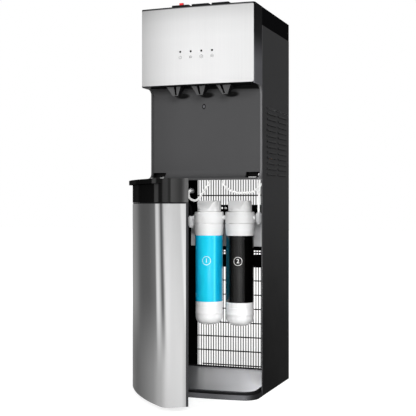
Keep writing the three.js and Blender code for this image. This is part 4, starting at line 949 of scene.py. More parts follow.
@maker("brushed_door")
def _brushed_door(surface, colours):
    """The door's steel with painted reflections: dark and pale bands that soften towards its foot."""
    upper = [
        (-285, 0.21), (-250, 0.245), (-220, 0.19), (-197, 0.10), (-175, 0.083), (-110, 0.105),
        (-76, 0.145), (-68, 0.17), (-59, 0.66), (-49, 0.72), (-41, 0.55), (-29, 0.10), (-23, 0.11),
        (-13, 0.51), (12, 0.53), (33, 0.495), (38, 0.66), (50, 0.62),
    ]
    lower = [
        (-285, 0.02), (-250, 0.055), (-219, 0.08), (-175, 0.165), (-107, 0.25), (-78, 0.28),
        (-51, 0.38), (-38, 0.41), (-26, 0.38), (-17, 0.42), (-8, 0.49), (5, 0.52), (36, 0.555),
        (41, 0.48), (50, 0.36),
    ]
    lean = 0.04
    leaning = round_door(surface, lean) - 0.43 * lean / MM
    height = surface.span(surface.part(surface.place(), "Z"), 0.08, 0.30)
    foot = bands(surface, round_door(surface), lower)
    light = surface.mix(height, foot, bands(surface, leaning, upper))
    return brushed(surface, colours.door, closed_place(surface), light, 0.5)


def label(surface, colour, node, stops):
    """A glossy printed film round a cartridge; stops say how its painted highlights, reflections and
    shade change from left to right.
    """
    box = Box(node)
    turn = math.radians(20)
    centre = Matrix.Rotation(-turn, 4, "Z") @ Vector((-box.x, -box.y, 0))
    spot = surface.place(location=centre, rotation=(0, 0, -turn))
    across = surface.span(surface.part(spot, "X"), -LABEL_RADIUS, LABEL_RADIUS, "LINEAR")
    film = surface.ramp(across, [((1 + place) / 2, (*level, 1)) for place, level in stops])
    return surface.shade(
        {
            "Base Color": surface.times(tone(colour, 1.0), film),
            "Roughness": 0.22 + surface.noise(spot, 30) * 0.08,
            "Specular IOR Level": 0.36,
        }
    )


@maker("label_cyan")
def _label_cyan(surface, colours):
    # Painted light on the cyan film: bluer, darker limbs and a highlight right of the middle.
    stops = [
        (-0.98, (1.2, 0.97, 1.0)), (-0.95, (1.0, 0.74, 1.0)), (-0.84, (1.0, 0.78, 1.05)),
        (-0.76, (1.0, 0.9, 1.05)), (-0.5, (1.2, 0.97, 1.0)), (-0.1, (1.6, 0.95, 1.0)),
        (0.2, (1.3, 0.92, 0.98)), (0.3, (3.0, 0.95, 0.98)), (0.37, (9.0, 1.2, 1.0)),
        (0.42, (9.0, 1.2, 1.0)), (0.48, (1.3, 0.88, 0.97)), (0.56, (0.5, 0.71, 0.90)),
        (0.71, (0.4, 0.62, 0.80)), (0.86, (0.4, 0.56, 0.70)), (0.94, (1.0, 0.56, 0.68)),
        (0.99, (12.0, 0.8, 0.8)),
    ]
    return label(surface, colours.cyan, "filter_cartridge_1", stops)


@maker("label_black")
def _label_black(surface, colours):
    # Painted reflections on the black film: pale bands left of the middle, darker to the right.
    stops = [
        (-0.95, (1.4, 1.5, 1.7)), (-0.82, (0.6, 0.65, 0.8)), (-0.7, (0.2, 0.2, 0.3)),
        (-0.62, (0.6, 0.6, 0.6)), (-0.52, (2.2, 2.2, 2.1)), (-0.45, (3.4, 3.4, 3.4)),
        (-0.22, (3.4, 3.4, 3.4)), (-0.1, (1.6, 1.6, 1.6)), (0.1, (1.4, 1.4, 1.4)),
        (0.26, (2.4, 2.4, 2.4)), (0.31, (0.2, 0.2, 0.2)), (1.0, (0.05, 0.05, 0.05)),
    ]
    return label(surface, colours.label_black, "filter_cartridge_2", stops)


# ---- Settings ----
def colour(name, description, *rgb):
    return bpy.props.FloatVectorProperty(
        name=name, description=description, subtype="COLOR", size=3, min=0, max=1, default=rgb
    )


def length(name, description, default):
    return bpy.props.FloatProperty(
        name=name, description=description, unit="LENGTH", min=0, precision=4, default=default
    )


def number(name, description, default):
    return bpy.props.IntProperty(name=name, description=description, min=1, default=default)


class CoolerColours(bpy.types.PropertyGroup):
    """Colours of the cooler's finishes."""

    side_panels: colour("Side Panels", "Textured paint on the cabinet's sheet steel", 0.029, 0.029, 0.030)
    gloss_black: colour("Gloss Black", "Head, cover and tray housing", 0.0055, 0.0055, 0.006)
    satin_black: colour("Satin Black", "Base, keys and door liner", 0.0085, 0.0085, 0.009)
    alcove: colour("Alcove", "Moulded panel of the filling alcove", 0.040, 0.040, 0.041)
    spouts: colour("Spouts", "Moulded faucets", 0.055, 0.055, 0.056)
    floor_plate: colour("Floor Plate", "Plate under the filters", 0.46, 0.46, 0.48)
    white: colour("White", "Filter heads, cartridges and labels' print", 0.93, 0.93, 0.93)
    tubes: colour("Tubes", "Milky water tubes", 0.84, 0.84, 0.83)
    fittings: colour("Fittings", "Elbows and unions", 0.60, 0.60, 0.61)
    cyan: colour("Cyan Label", "Film on the first cartridge", 0.009, 0.63, 0.84)
    label_black: colour("Black Label", "Film on the second cartridge", 0.006, 0.006, 0.006)
    wires: colour("Condenser", "Enamel on the condenser's pipe and front wires", 0.005, 0.005, 0.005)
    rear_wires: colour("Rear Wires", "Enamel on the condenser's rear wires", 0.006, 0.006, 0.006)
    fascia: colour("Fascia", "Brushed steel on the head", 0.97, 0.97, 0.975)
    door: colour("Door", "Brushed steel on the door", 0.97, 0.97, 0.975)
    stainless: colour("Stainless", "Grate, hinges and tanks", 0.60, 0.60, 0.61)
    zinc: colour("Zinc", "Plated decks", 0.42, 0.43, 0.44)
    copper: colour("Copper", "Refrigerant lines", 0.68, 0.34, 0.20)
    foam: colour("Foam", "Insulation round the cold tank", 0.72, 0.66, 0.48)
    compressor: colour("Compressor", "Enamelled shell of the compressor", 0.014, 0.014, 0.015)
    red: colour("Red", "Child lock, hot switch and drain plug", 0.42, 0.008, 0.012)
    blue: colour("Blue", "Cold switch", 0.03, 0.11, 0.42)
    green: colour("Green", "Light switch", 0.02, 0.28, 0.08)
    pictograms: colour("Pictograms", "Marks under the indicator lamps", 0.13, 0.13, 0.13)
    lamps: colour("Lamps", "Indicator lamps when they are off", 0.002, 0.002, 0.002)
    lens: colour("Lens", "Night light in the alcove", 0.05, 0.05, 0.055)


class CoolerSizes(bpy.types.PropertyGroup):
    """Sizes of the details that the frame of solids leaves to the looks."""

    edge: length("Edge", "Rounding of moulded edges", 0.8 * MM)
    crisp_edge: length("Crisp Edge", "Rounding of sheet and small parts", 0.3 * MM)
    wire_pitch: length("Wire Pitch", "Distance between the condenser's front wires", 15.7 * MM)
    wire_radius: length("Wire Radius", "Radius of the condenser's wires", 1.5 * MM)
    pipe_radius: length("Pipe Radius", "Radius of the condenser's pipe", 1.8 * MM)
    label_low: length("Label Foot", "Height at which the cartridge labels start", 233 * MM)
    label_high: length("Label Head", "Height at which the cartridge labels end", 423 * MM)
    louvre_rows: number("Louvre Rows", "Louvres in each column of a side panel", 13)
    lamp_count: number("Lamps", "Indicator lamps on the fascia", 4)
    grate_bars: number("Grate Bars", "Bars across the drip grate", 12)


# ---- Door ----
DOOR_BACK = PANEL_FRONT - 6.2 * MM
DOOR_PLAN = {"corner": FRONT - 4 * MM, "radius": 24 * MM, "bow": 14 * MM}
DOOR_BOW = Bow(**DOOR_PLAN)
DOOR_STEEL = 1 * MM
EDGE_STRIP = 6 * MM


class COOLER_OT_door(bpy.types.Operator):
    """Curved steel door with its moulded liner and dark edge strip"""

    bl_idname = "cooler.door"
    bl_label = "Door"

    def execute(self, context):
        sizes = context.scene.cooler_sizes
        skin = Box("door_skin")
        liner = Box("door_liner")
        edge = DOOR_BACK - EDGE_STRIP - GAP
        outside = [(-HALF, edge), *DOOR_BOW.line(), (HALF, edge)]
        inner = HALF - DOOR_STEEL
        inside = [(-inner, edge), *DOOR_BOW.line(DOOR_STEEL), (inner, edge)]
        sheet = Shape().prism([*outside, *reversed(inside)], skin.z0, skin.z1)
        sheet.moved(SWUNG)
        piece("door_front", sheet, "brushed_door", "door", "door_skin", round_edges=sizes.crisp_edge)

        inset = DOOR_STEEL + GAP
        body = Shape().prism(DOOR_BOW.plan(inset, DOOR_BACK), liner.z0, liner.z1)
        strip = Shape().box(-HALF, HALF, DOOR_BACK - EDGE_STRIP, DOOR_BACK, liner.z0, liner.z1)
        margin = 26 * MM
        recess = [-HALF + margin, HALF - margin, liner.z0 + margin, liner.z1 - margin]
        dish = Shape().prism(rounded(*recess, 10 * MM), -DOOR_BACK - 1 * MM, -DOOR_BACK + 4 * MM)
        foot = [DOOR_BACK - EDGE_STRIP, DOOR_BACK, skin.z0, liner.z0 + MM]
        feet = [Shape().box(*on_side(side, HALF, HALF - 3.5 * MM), *foot) for side in (-1, 1)]
        body = body.join(strip, *feet).cut(dish.moved(FACING))
        body = body.cut(Shape().rod(DOOR_HOLE, 0, liner.z0 + 11.5 * MM, HINGE_X, HINGE_Y))
        body.moved(SWUNG)
        piece("door_back", body, "door_lining", "door", "door_liner", round_edges=sizes.edge)
        return {"FINISHED"}


class COOLER_OT_tray(bpy.types.Operator):
    """Housing on top of the door, with its drip tray and grate"""

    bl_idname = "cooler.tray"
    bl_label = "Drip Tray"

    def execute(self, context):
        sizes = context.scene.cooler_sizes
        housing = Box("tray_housing")
        tray = Box("drip_tray")
        grate = Box("drip_grate")
        wall = 10 * MM
        depth = 34 * MM
        back = ALCOVE.y0 - 2 * MM + GAP
        reach = 10 * MM
        brim_height = 12 * MM
        brim_half = 145 * MM

        def basin(inset, z0, z1):
            return Shape().prism(DOOR_BOW.plan(wall + inset, back - inset), z0, z1)

        body = Shape().prism(DOOR_BOW.plan(0, DOOR_BACK), housing.z0, housing.z1)
        ahead = Bow(**{**DOOR_PLAN, "corner": DOOR_PLAN["corner"] - reach})
        brim = Shape().prism(ahead.plan(0, FRONT + 28 * MM), housing.z1 - brim_height, housing.z1)
        between = Shape().box(-brim_half, brim_half, FRONT - 60 * MM, FRONT + 30 * MM, 0, 1)
        body = body.join(brim.limit(between))
        seam_y = DOOR_BACK - 12 * MM
        seam = Shape().box(HALF - 0.8 * MM, HALF + 1 * MM, seam_y, seam_y + 0.9 * MM, 0, 1)
        body = body.cut(
            basin(0, housing.z1 - depth, housing.z1 + wall),
            basin(0, housing.z0 - wall, housing.z1 - depth - MOULDED),
            Shape().rod(DOOR_HOLE, housing.z1 - 14 * MM, 1, HINGE_X, HINGE_Y),
            seam,
        )
        body.moved(SWUNG)
        piece("tray_holder", body, "housing_black", "door", "tray_housing", round_edges=sizes.edge)

        slip = 0.5 * MM
        tray_wall = 2 * MM
        ledge = 3 * MM
        seat = grate.z0 - GAP
        bowl = basin(slip, tray.z0, tray.z1).cut(
            basin(slip + tray_wall, seat, tray.z1 + wall),
            basin(slip + tray_wall + ledge, tray.z0 + tray_wall, tray.z1 + wall),
        )
        bowl.moved(SWUNG)
        piece("tray_bowl", bowl, "satin_black", "tray", "drip_tray", round_edges=0.5 * MM)

        inset = slip + tray_wall + GAP
        margin = 6 * MM
        y = [FRONT + wall + inset + margin, back - inset - margin]
        half = HALF - wall - inset - 20 * MM
        window = Shape().box(-half, half, *y, 0, 1)
        rim = basin(inset, grate.z0, grate.z1).cut(window).moved(SWUNG)
        piece("grate_rim", rim, "stainless", "grate", "drip_grate", round_edges=0.3 * MM)
        bars = sizes.grate_bars
        pitch = 2 * half / (bars + 1)
        bar = Shape().box(-2 * MM, 2 * MM, *y, grate.z0, grate.z1).moved(SWUNG)
        turned = SWUNG.to_3x3()
        first = turned @ Vector((-half + pitch, 0, 0))
        repeat("grate_bars", bar, "stainless", "grate", first, turned @ Vector((pitch, 0, 0)), bars)
        return {"FINISHED"}


# ---- Head ----
HEAD_BOW = Bow(FRONT, 7 * MM, 4 * MM)
HEAD_SKIN = 1 * MM
LAMP_PITCH = 30 * MM
LAMP_Z = Box("light_guide").z
LAMP_RADIUS = 2.6 * MM


def lamp_x(i, count):
    """Where an indicator lamp sits across the fascia."""
    return (i - (count - 1) / 2) * LAMP_PITCH


class COOLER_OT_head(bpy.types.Operator):
    """Head: black shell, brushed steel fascia with its lamps and marks, and the top cover"""

    bl_idname = "cooler.head"
    bl_label = "Head"

    def execute(self, context):
        sizes = context.scene.cooler_sizes
        self.shell(sizes)
        self.fascia(sizes)
        self.marks(sizes)
        cover = Shape().box(-HALF, HALF, COVER.y0, COVER.y1, COVER.z0, COVER.z1)
        inner = [-HALF + MOULDED, HALF - MOULDED, COVER.y0 - 1 * MM, COVER.y1 - MOULDED]
        cover = cover.cut(Shape().box(*inner, COVER.z0 - 1 * MM, COVER.z1 - 3.5 * MM))
        rounding = {"round_edges": 2 * sizes.edge, "segments": 3}
        piece("cover", cover, "cover_black", "cabinet", "top_cover", **rounding)
        return {"FINISHED"}

    def shell(self, sizes):
        top = 3.5 * MM
        floor = 3 * MM
        outside = Bow(FRONT + HEAD_SKIN + GAP, 7 * MM, 4 * MM)
        back = HEAD.y1 + 1 * MM
        body = Shape().prism(outside.plan(0, HEAD.y1), HEAD.z0, HEAD.z1)
        below = [-HALF + MOULDED, HALF - MOULDED, ALCOVE.y0 - GAP, back, 0, HEAD.z0 + 2 * floor]
        tools = [
            Shape().prism(outside.plan(MOULDED, back), HEAD.z0 + floor, HEAD.z1 - top),
            Shape().box(*below),
        ]
        slip = 0.5 * MM
        for name in WATERS:
            key = Box("key_" + name)
            hole = rounded(key.x0 - slip, key.x1 + slip, key.y0 - slip, key.y1 + slip, 3 * MM)
            tools.append(Shape().prism(hole, HEAD.z1 - 2 * top, HEAD.z1 + top))
            tools.append(Shape().rod(BARREL + GAP, 0, HEAD.z0 + 2 * floor, faucet_x(name), FAUCET_Y))
        body = body.cut(*tools, *self.lamp_holes(sizes.lamp_count))
        rounding = {"round_edges": sizes.edge, "segments": 3}
        piece("head_body", body, "head_black", "cabinet", "head_shell", **rounding)

    @staticmethod
    def lamp_holes(count):
        middle = -FRONT
        around = LAMP_RADIUS + GAP
        reach = 20 * MM
        places = [lamp_x(i, count) for i in range(count)]
        holes = [Shape().rod(around, middle - reach, middle + reach, x, LAMP_Z, 24) for x in places]
        return [hole.moved(FACING) for hole in holes]

    def fascia(self, sizes):
        box = Box("fascia")
        section = [*HEAD_BOW.line(), *reversed(HEAD_BOW.line(HEAD_SKIN))]
        sheet = Shape().prism(section, box.z0, box.z1)
        outline = rounded(box.x0, box.x1, box.z0, box.z1, 5 * MM)
        keep_in = Shape().prism(outline, -FRONT - 2 * HEAD_SKIN, -FRONT + 20 * MM).moved(FACING)
        sheet = sheet.limit(keep_in).cut(*self.lamp_holes(sizes.lamp_count))
        piece("fascia_sheet", sheet, "brushed_fascia", "cabinet", "fascia", round_edges=sizes.crisp_edge)

    def marks(self, sizes):
        """The lamps in their holes and a plain mark below each."""
        count = sizes.lamp_count
        guide = Box("light_guide")
        back = guide.y1
        r = LAMP_RADIUS
        lamp = [(0, 0), (r, 0), (r, 13.2 * MM), (0.7 * r, 13.7 * MM), (0, 13.9 * MM)]
        rail = Shape().box(guide.x0, guide.x1, back - 6 * MM, back, guide.z0, guide.z1)
        piece("lamp_rail", rail, "clear_lens", "cabinet", "light_guide", round_edges=0.5 * MM)
        pin = Shape().lathe(lamp, 0, 0, 24).moved(FACING)
        first = (lamp_x(0, count), back - 0.5 * MM, LAMP_Z)
        repeat("lamps", pin, "lamp_dark", "cabinet", first, (LAMP_PITCH, 0, 0), count)
        for i, draw in enumerate((mark_power, mark_columns, mark_waves, mark_drop)[:count]):
            x = lamp_x(i, count)
            place = Matrix.Translation((x, HEAD_BOW.y_at(x) + 0.05 * MM, LAMP_Z - 15 * MM))
            shape = Shape()
            draw(shape)
            piece(f"mark_{i + 1}", shape.moved(place @ FACING), "pictogram_grey", "cabinet")


# Plain marks, drawn in plan about the origin and raised by a printed film's thickness.
INK = 0.2 * MM


def ring(shape, radius, width, start=0.0, end=360.0, steps=28):
    """A ring or part of one, with angles in degrees."""
    turn = [math.radians(a) for a in (start, end)]
    outer = arc(0, 0, radius, *turn, steps)
    inner = arc(0, 0, radius - width, *turn, steps)
    shape.prism([*outer, *reversed(inner)], 0, INK)


def numeral(text, size):
    """A plain printed figure about the origin."""
    figure = bpy.data.curves.new("figure", "FONT")
    figure.body = text
    figure.size = size
    figure.align_x = "CENTER"
    figure.align_y = "CENTER"
    figure.extrude = INK / 2
    obj = bpy.data.objects.new("figure", figure)
    bpy.context.scene.collection.objects.link(obj)
    shape = Shape(evaluated(obj))
    bpy.data.objects.remove(obj)
    bpy.data.curves.remove(figure)
    bmesh.ops.remove_doubles(shape.bm, verts=shape.bm.verts, dist=1e-6)
    return shape.moved(Matrix.Translation((0, 0, INK / 2)))


def mark_power(shape):
    ring(shape, 4.2 * MM, 0.9 * MM, -230, 50)
    shape.box(-0.45 * MM, 0.45 * MM, 0.2 * MM, 4.8 * MM, 0, INK)


def mark_columns(shape):
    shape.prism(rounded(-4.4 * MM, -3.0 * MM, -3.4 * MM, 3.4 * MM, 0.6 * MM), 0, INK)
    ring(shape, 3 * MM, 1.1 * MM)
    shape.moved(Matrix.Translation((0.8 * MM, 0, 0)))


def mark_waves(shape):
    ring(shape, 4.8 * MM, 0.8 * MM)
    for y in (-1.5, 0.0, 1.5):
        shape.box(-2.2 * MM, 2.2 * MM, (y - 0.3) * MM, (y + 0.3) * MM, 0, INK)


def mark_drop(shape):
    ring(shape, 4.6 * MM, 0.8 * MM, -60, 240)
    shape.prism(arc(0, -0.4 * MM, 1.7 * MM, 0, 1.9 * math.pi, 20), 0, INK)


# ---- Keys ----
class COOLER_OT_keys(bpy.types.Operator):
    """Three push keys and the red slider of the child lock"""

    bl_idname = "cooler.keys"
    bl_label = "Keys"

    def execute(self, context):
        dish_radius = 120 * MM
        dish_depth = 0.9 * MM
        for name in WATERS:
            key = Box("key_" + name)
            low = key.z1 - 16 * MM
            cap = Shape().prism(rounded(key.x0, key.x1, key.y0, key.y1, 3 * MM), low, key.z1)
            dish = Shape().rod(dish_radius, key.y0 + 2.5 * MM, key.y1 - 2.5 * MM, sides=160)
            dish.moved(Matrix.Translation((key.x, 0, key.z1 + dish_radius - dish_depth)) @ REARWARD)
            stem = Shape().rod(4 * MM, key.z0, low + 1 * MM, key.x, key.y)
            body = cap.cut(dish).join(stem)
            if name == "hot":
                x = Box("child_lock").x
                slot = [x - 2.8 * MM, x + 6.8 * MM, key.y - 2.3 * MM, key.y + 2.3 * MM]
                body = body.cut(Shape().box(*slot, key.z1 - 4 * MM, 2))
            piece("cap_" + name, body, "satin_black", name + "_key", "key_" + name, round_edges=0.6 * MM)
        lock = Box("child_lock")
        z = lock.z1 - 7 * MM
        slider = Shape().prism(rounded(lock.x0, lock.x1, lock.y0, lock.y1, 1.5 * MM), z, lock.z1)
        under = [lock.x - 2.5 * MM, lock.x + 2.5 * MM, lock.y - 2 * MM, lock.y + 2 * MM]
        foot = Shape().box(*under, lock.z0, z + 1 * MM)
        across = [lock.y0 - MM, lock.y1 + MM, lock.z1 - 0.8 * MM, 2]
        grooves = [
            Shape().box(lock.x + d * MM, lock.x + (d + 1) * MM, *across) for d in (-3.5, -1.5, 0.5, 2.5)
        ]
        slider = slider.join(foot).cut(*grooves)
        piece("lock_knob", slider, "signal_red", "lock_slider", "child_lock", round_edges=0.4 * MM)
        return {"FINISHED"}


# ---- Alcove and faucets ----
FAUCET_Y = FRONT + 22 * MM
FAUCET_PITCH = 71 * MM
SPOUT_SHADE = (19 * MM, 7 * MM, 19.5 * MM)  # half width, half height and depth below the head of the painted shadow behind each spout
FILLET = 24 * MM
LIP = 5 * MM
RIM = 5 * MM
RIM_RISE = 2 * MM
ALCOVE_FACE = PANEL_FRONT + RIM_RISE
LIP_FRONT = PANEL_FRONT - FILLET


def faucet_x(name):
    """Where a faucet's barrel stands across the cabinet."""
    return FAUCET_PITCH * (WATERS.index(name) - 1)


class COOLER_OT_alcove(bpy.types.Operator):
    """Moulded alcove panel with its fillets, raised rims, pockets and night light"""

    bl_idname = "cooler.alcove"
    bl_label = "Alcove"

    def section(self, forward):
        """The panel seen from its side, as (y, z) points."""
        centre = ALCOVE_FACE - forward - FILLET
        front = min(LIP_FRONT, centre - GAP)
        back = ALCOVE_FACE + MOULDED
        top = HEAD.z0
        quarter = math.pi / 2
        return [
            (front, ALCOVE.z0), (back, ALCOVE.z0), (back, ALCOVE.z1), (front, ALCOVE.z1), (front, top),
            *arc(centre, top - FILLET, FILLET, quarter, 0, 16),
            *arc(centre, ALCOVE.z0 + LIP + FILLET, FILLET, 0, -quarter, 16), (front, ALCOVE.z0 + LIP),
        ]

    @staticmethod
    def pocket(side, wall, ahead):
        inner = INSIDE - RIM
        x = on_side(side, inner, inner - 38 * MM)
        z = ALCOVE.z0 + LIP
        y = [ALCOVE_FACE - ahead, ALCOVE_FACE + 18 * MM - MOULDED + wall]
        return Shape().box(x[0] - wall, x[1] + wall, *y, z - wall / 2, z + 16 * MM + wall)

    def execute(self, context):
        sizes = context.scene.cooler_sizes
        raised = self.section(RIM_RISE)
        ends = [on_side(side, INSIDE, INSIDE - RIM) for side in (-1, 1)]
        rims = [Shape().prism(raised, *end).moved(SIDEWAYS) for end in ends]
        body = Shape().prism(self.section(0), -INSIDE, INSIDE).moved(SIDEWAYS)
        body = body.join(*rims, self.pocket(-1, MOULDED, 0), self.pocket(1, MOULDED, 0))
        cheek = HALF - MOULDED - GAP
        above = [LIP_FRONT - 5 * MM, ALCOVE_FACE + 5 * MM, HEAD.z0 - GAP, HEAD.z1]
        lens = Box("night_light")
        oval = Matrix.Translation((lens.x, 0, lens.z)) @ FACING @ Matrix.Diagonal((1, 1.5, 1, 1))
        face = -ALCOVE_FACE
        hole = Shape().rod(4 * MM, face - 20 * MM, face + 20 * MM, sides=40)
        body = body.cut(
            self.pocket(-1, 0, FILLET + 10 * MM),
            self.pocket(1, 0, FILLET + 10 * MM),
            Shape().box(cheek, HALF, *above),
            Shape().box(-HALF, -cheek, *above),
            Shape().rod(PIN_HOLE, 0, ALCOVE.z0 + 2 * LIP, HINGE_X, HINGE_Y),
            hole.moved(oval),
        )
        piece("alcove", body, "alcove_grey", "cabinet", "alcove_panel", round_edges=sizes.edge)
        ring = [(3.0, -2.0), (4.9, -2.0), (4.9, 0.3), (4.5, 0.7), (3.4, 0.7), (3.0, 0.3)]
        bezel = tube_wall([(r * MM, face + h * MM) for r, h in ring], 0, 0, 40)
        piece("alcove_lamp_ring", bezel.moved(oval), "satin_black", "cabinet")
        r = 2.8 * MM
        dome = [(r, face + 0.1 * MM), (0.8 * r, face + 0.7 * MM), (0, face + 0.9 * MM)]
        lamp = Shape().lathe([(r, face - 3 * MM), *dome], sides=40).moved(oval)
        holder = Shape().box(lens.x0, lens.x1, lens.y1 - 8 * MM, lens.y1, lens.z0, lens.z1)
        lamp = lamp.join(holder)
        piece("alcove_lamp", lamp, "clear_lens", "cabinet", "night_light", round_edges=0.2 * MM)
        return {"FINISHED"}


def quad(x0, x1, y0, y1, z):
    """A level rectangle, as points."""
    return [(x0, y0, z), (x1, y0, z), (x1, y1, z), (x0, y1, z)]


class COOLER_OT_faucets(bpy.types.Operator):
    """Three wedge-shaped spouts with the valve barrels above them"""

    bl_idname = "cooler.faucets"
    bl_label = "Faucets"

    def execute(self, context):
        w, d, t = 20 * MM, 17 * MM, 7 * MM  # half width, half depth, half the foot's width
        lean = -1.5 * MM
        thick, proud, edge = 2 * MM, 0.5 * MM, 0.4 * MM  # of the pale face
        slit = 3.6 * MM
        barrel_y = FAUCET_Y
        y = barrel_y + 8 * MM
        nozzle_y = y + 5 * MM
        z = HEAD.z0 - GAP
        low = z - 22.5 * MM
        for i, name in enumerate(WATERS):
            box = Box("faucet_" + name)
            key = Box("key_" + name)
            x = faucet_x(name)
            foot_x = x + lean
            shift = -MM - 5.2 * MM * (i - 1)
            tip = shift / 3 + lean / 2
            wedge = [
                quad(x - w, x + w, y - d, y + d, z),
                quad(foot_x - t, foot_x + t, y, y + d - 2 * MM, low),
            ]
            slot = [
                quad(x + shift - slit, x + shift + slit, y - 2 * d, y - 2 * MM, z),
                quad(x + tip - 0.6 * slit, x + tip + 0.6 * slit, y - 2 * d, y + 4 * MM, low + 1.5 * MM),
            ]
            beam = sorted((x, key.x))
            beam = [beam[0] - 3 * MM, beam[1] + 3 * MM, barrel_y, key.y]
            hose = [(4.5 * MM, 0), (4.5 * MM, 20 * MM), (5.2 * MM, 22 * MM), (3.6 * MM, 26 * MM)]
            stand = Matrix.Translation((x, barrel_y, HEAD.z0 + 36 * MM)) @ REARWARD
            body = Shape().skin(wedge).join(
                Shape().rod(BARREL, HEAD.z0 - MM, box.z1, x, barrel_y),
                Shape().rod(8 * MM, box.z1 - 20 * MM, box.z1, key.x, key.y),
                Shape().box(*beam, box.z1 - 20 * MM, box.z1 - 2 * MM),
                Shape().rod(5.5 * MM, low - 1 * MM, HEAD.z0 - 10 * MM, x, nozzle_y),
                Shape().lathe(hose).moved(stand),
                Shape().rod(BARREL + 3 * MM, HEAD.z0 + 3.3 * MM, HEAD.z0 + 8 * MM, x, barrel_y),
            )
            body = body.cut(
                Shape().rod(4.5 * MM, box.z1 - 10 * MM, 2, key.x, key.y),
                Shape().rod(4 * MM, 0, low + 16 * MM, x, nozzle_y),
                Shape().skin(slot),
            )
            piece("spout_" + name, body, "satin_black", "cabinet", "faucet_" + name, round_edges=0.6 * MM)
            half = t + edge
            plate = [
                quad(x - w, x + w, y - d - proud, y - d + thick, z),
                quad(foot_x - half, foot_x + half, y - proud, y + thick, low - edge),
            ]
            face = Shape().skin(plate).cut(Shape().skin(slot))
            piece("spout_face_" + name, face, "spout_grey", "cabinet", round_edges=0.4 * MM)
        return {"FINISHED"}


# ---- Base ----
BASE_BAND = 14 * MM


class COOLER_OT_base(bpy.types.Operator):
    """Moulded base with a step round its front, and the floor plate of the filter bay"""

    bl_idname = "cooler.base"
    bl_label = "Base"

    @staticmethod
    def tongue(inset, z0, z1):
        bow = Bow(FRONT - 1 * MM, 40 * MM, 7 * MM)
        neck = PANEL_FRONT - GAP
        side = INSIDE - inset
        wide = HALF - inset
        outline = [
            *bow.line(inset), (wide, neck), (side, neck), (side, BACK - inset), (-side, BACK - inset),
            (-side, neck), (-wide, neck),
        ]
        return Shape().prism(outline, z0, z1)

    def execute(self, context):
        sizes = context.scene.cooler_sizes
        band = BASE_BAND
        step = 4.5 * MM
        rim = step + 3 * MM
        plate = Box("floor_plate")
        seat = plate.z0 - GAP
        sweep = 14.5 * MM
        boss = 6 * MM
        axis = (HINGE_X, HINGE_Y)
        relief = Shape().rod(sweep, band, 1, *axis).cut(Shape().rod(boss, 0, 2, *axis))
        body = self.tongue(0, 0, band).join(self.tongue(step, band - MM, BASE.z1)).cut(
            self.tongue(rim, seat, 1),
            relief,
            Shape().rod(PIN_HOLE, 4 * MM, 1, *axis),
        )
        piece("base", body, "base_black", "cabinet", "base_pan", round_edges=sizes.edge)
        floor = self.tongue(rim + GAP, plate.z0, plate.z1).cut(Shape().rod(sweep + MM, 0, 1, *axis))
        piece("bay_floor", floor, "tray_grey", "cabinet", "floor_plate", round_edges=0.6 * MM)
        strip = [-INSIDE + MM, INSIDE - MM, plate.y1 - 2.5 * MM, plate.y1]
        sill = Shape().box(*strip, plate.z1 - GAP, plate.z1 + 4.5 * MM)
        piece("sill", sill, "satin_black", "cabinet", round_edges=sizes.crisp_edge)
        return {"FINISHED"}


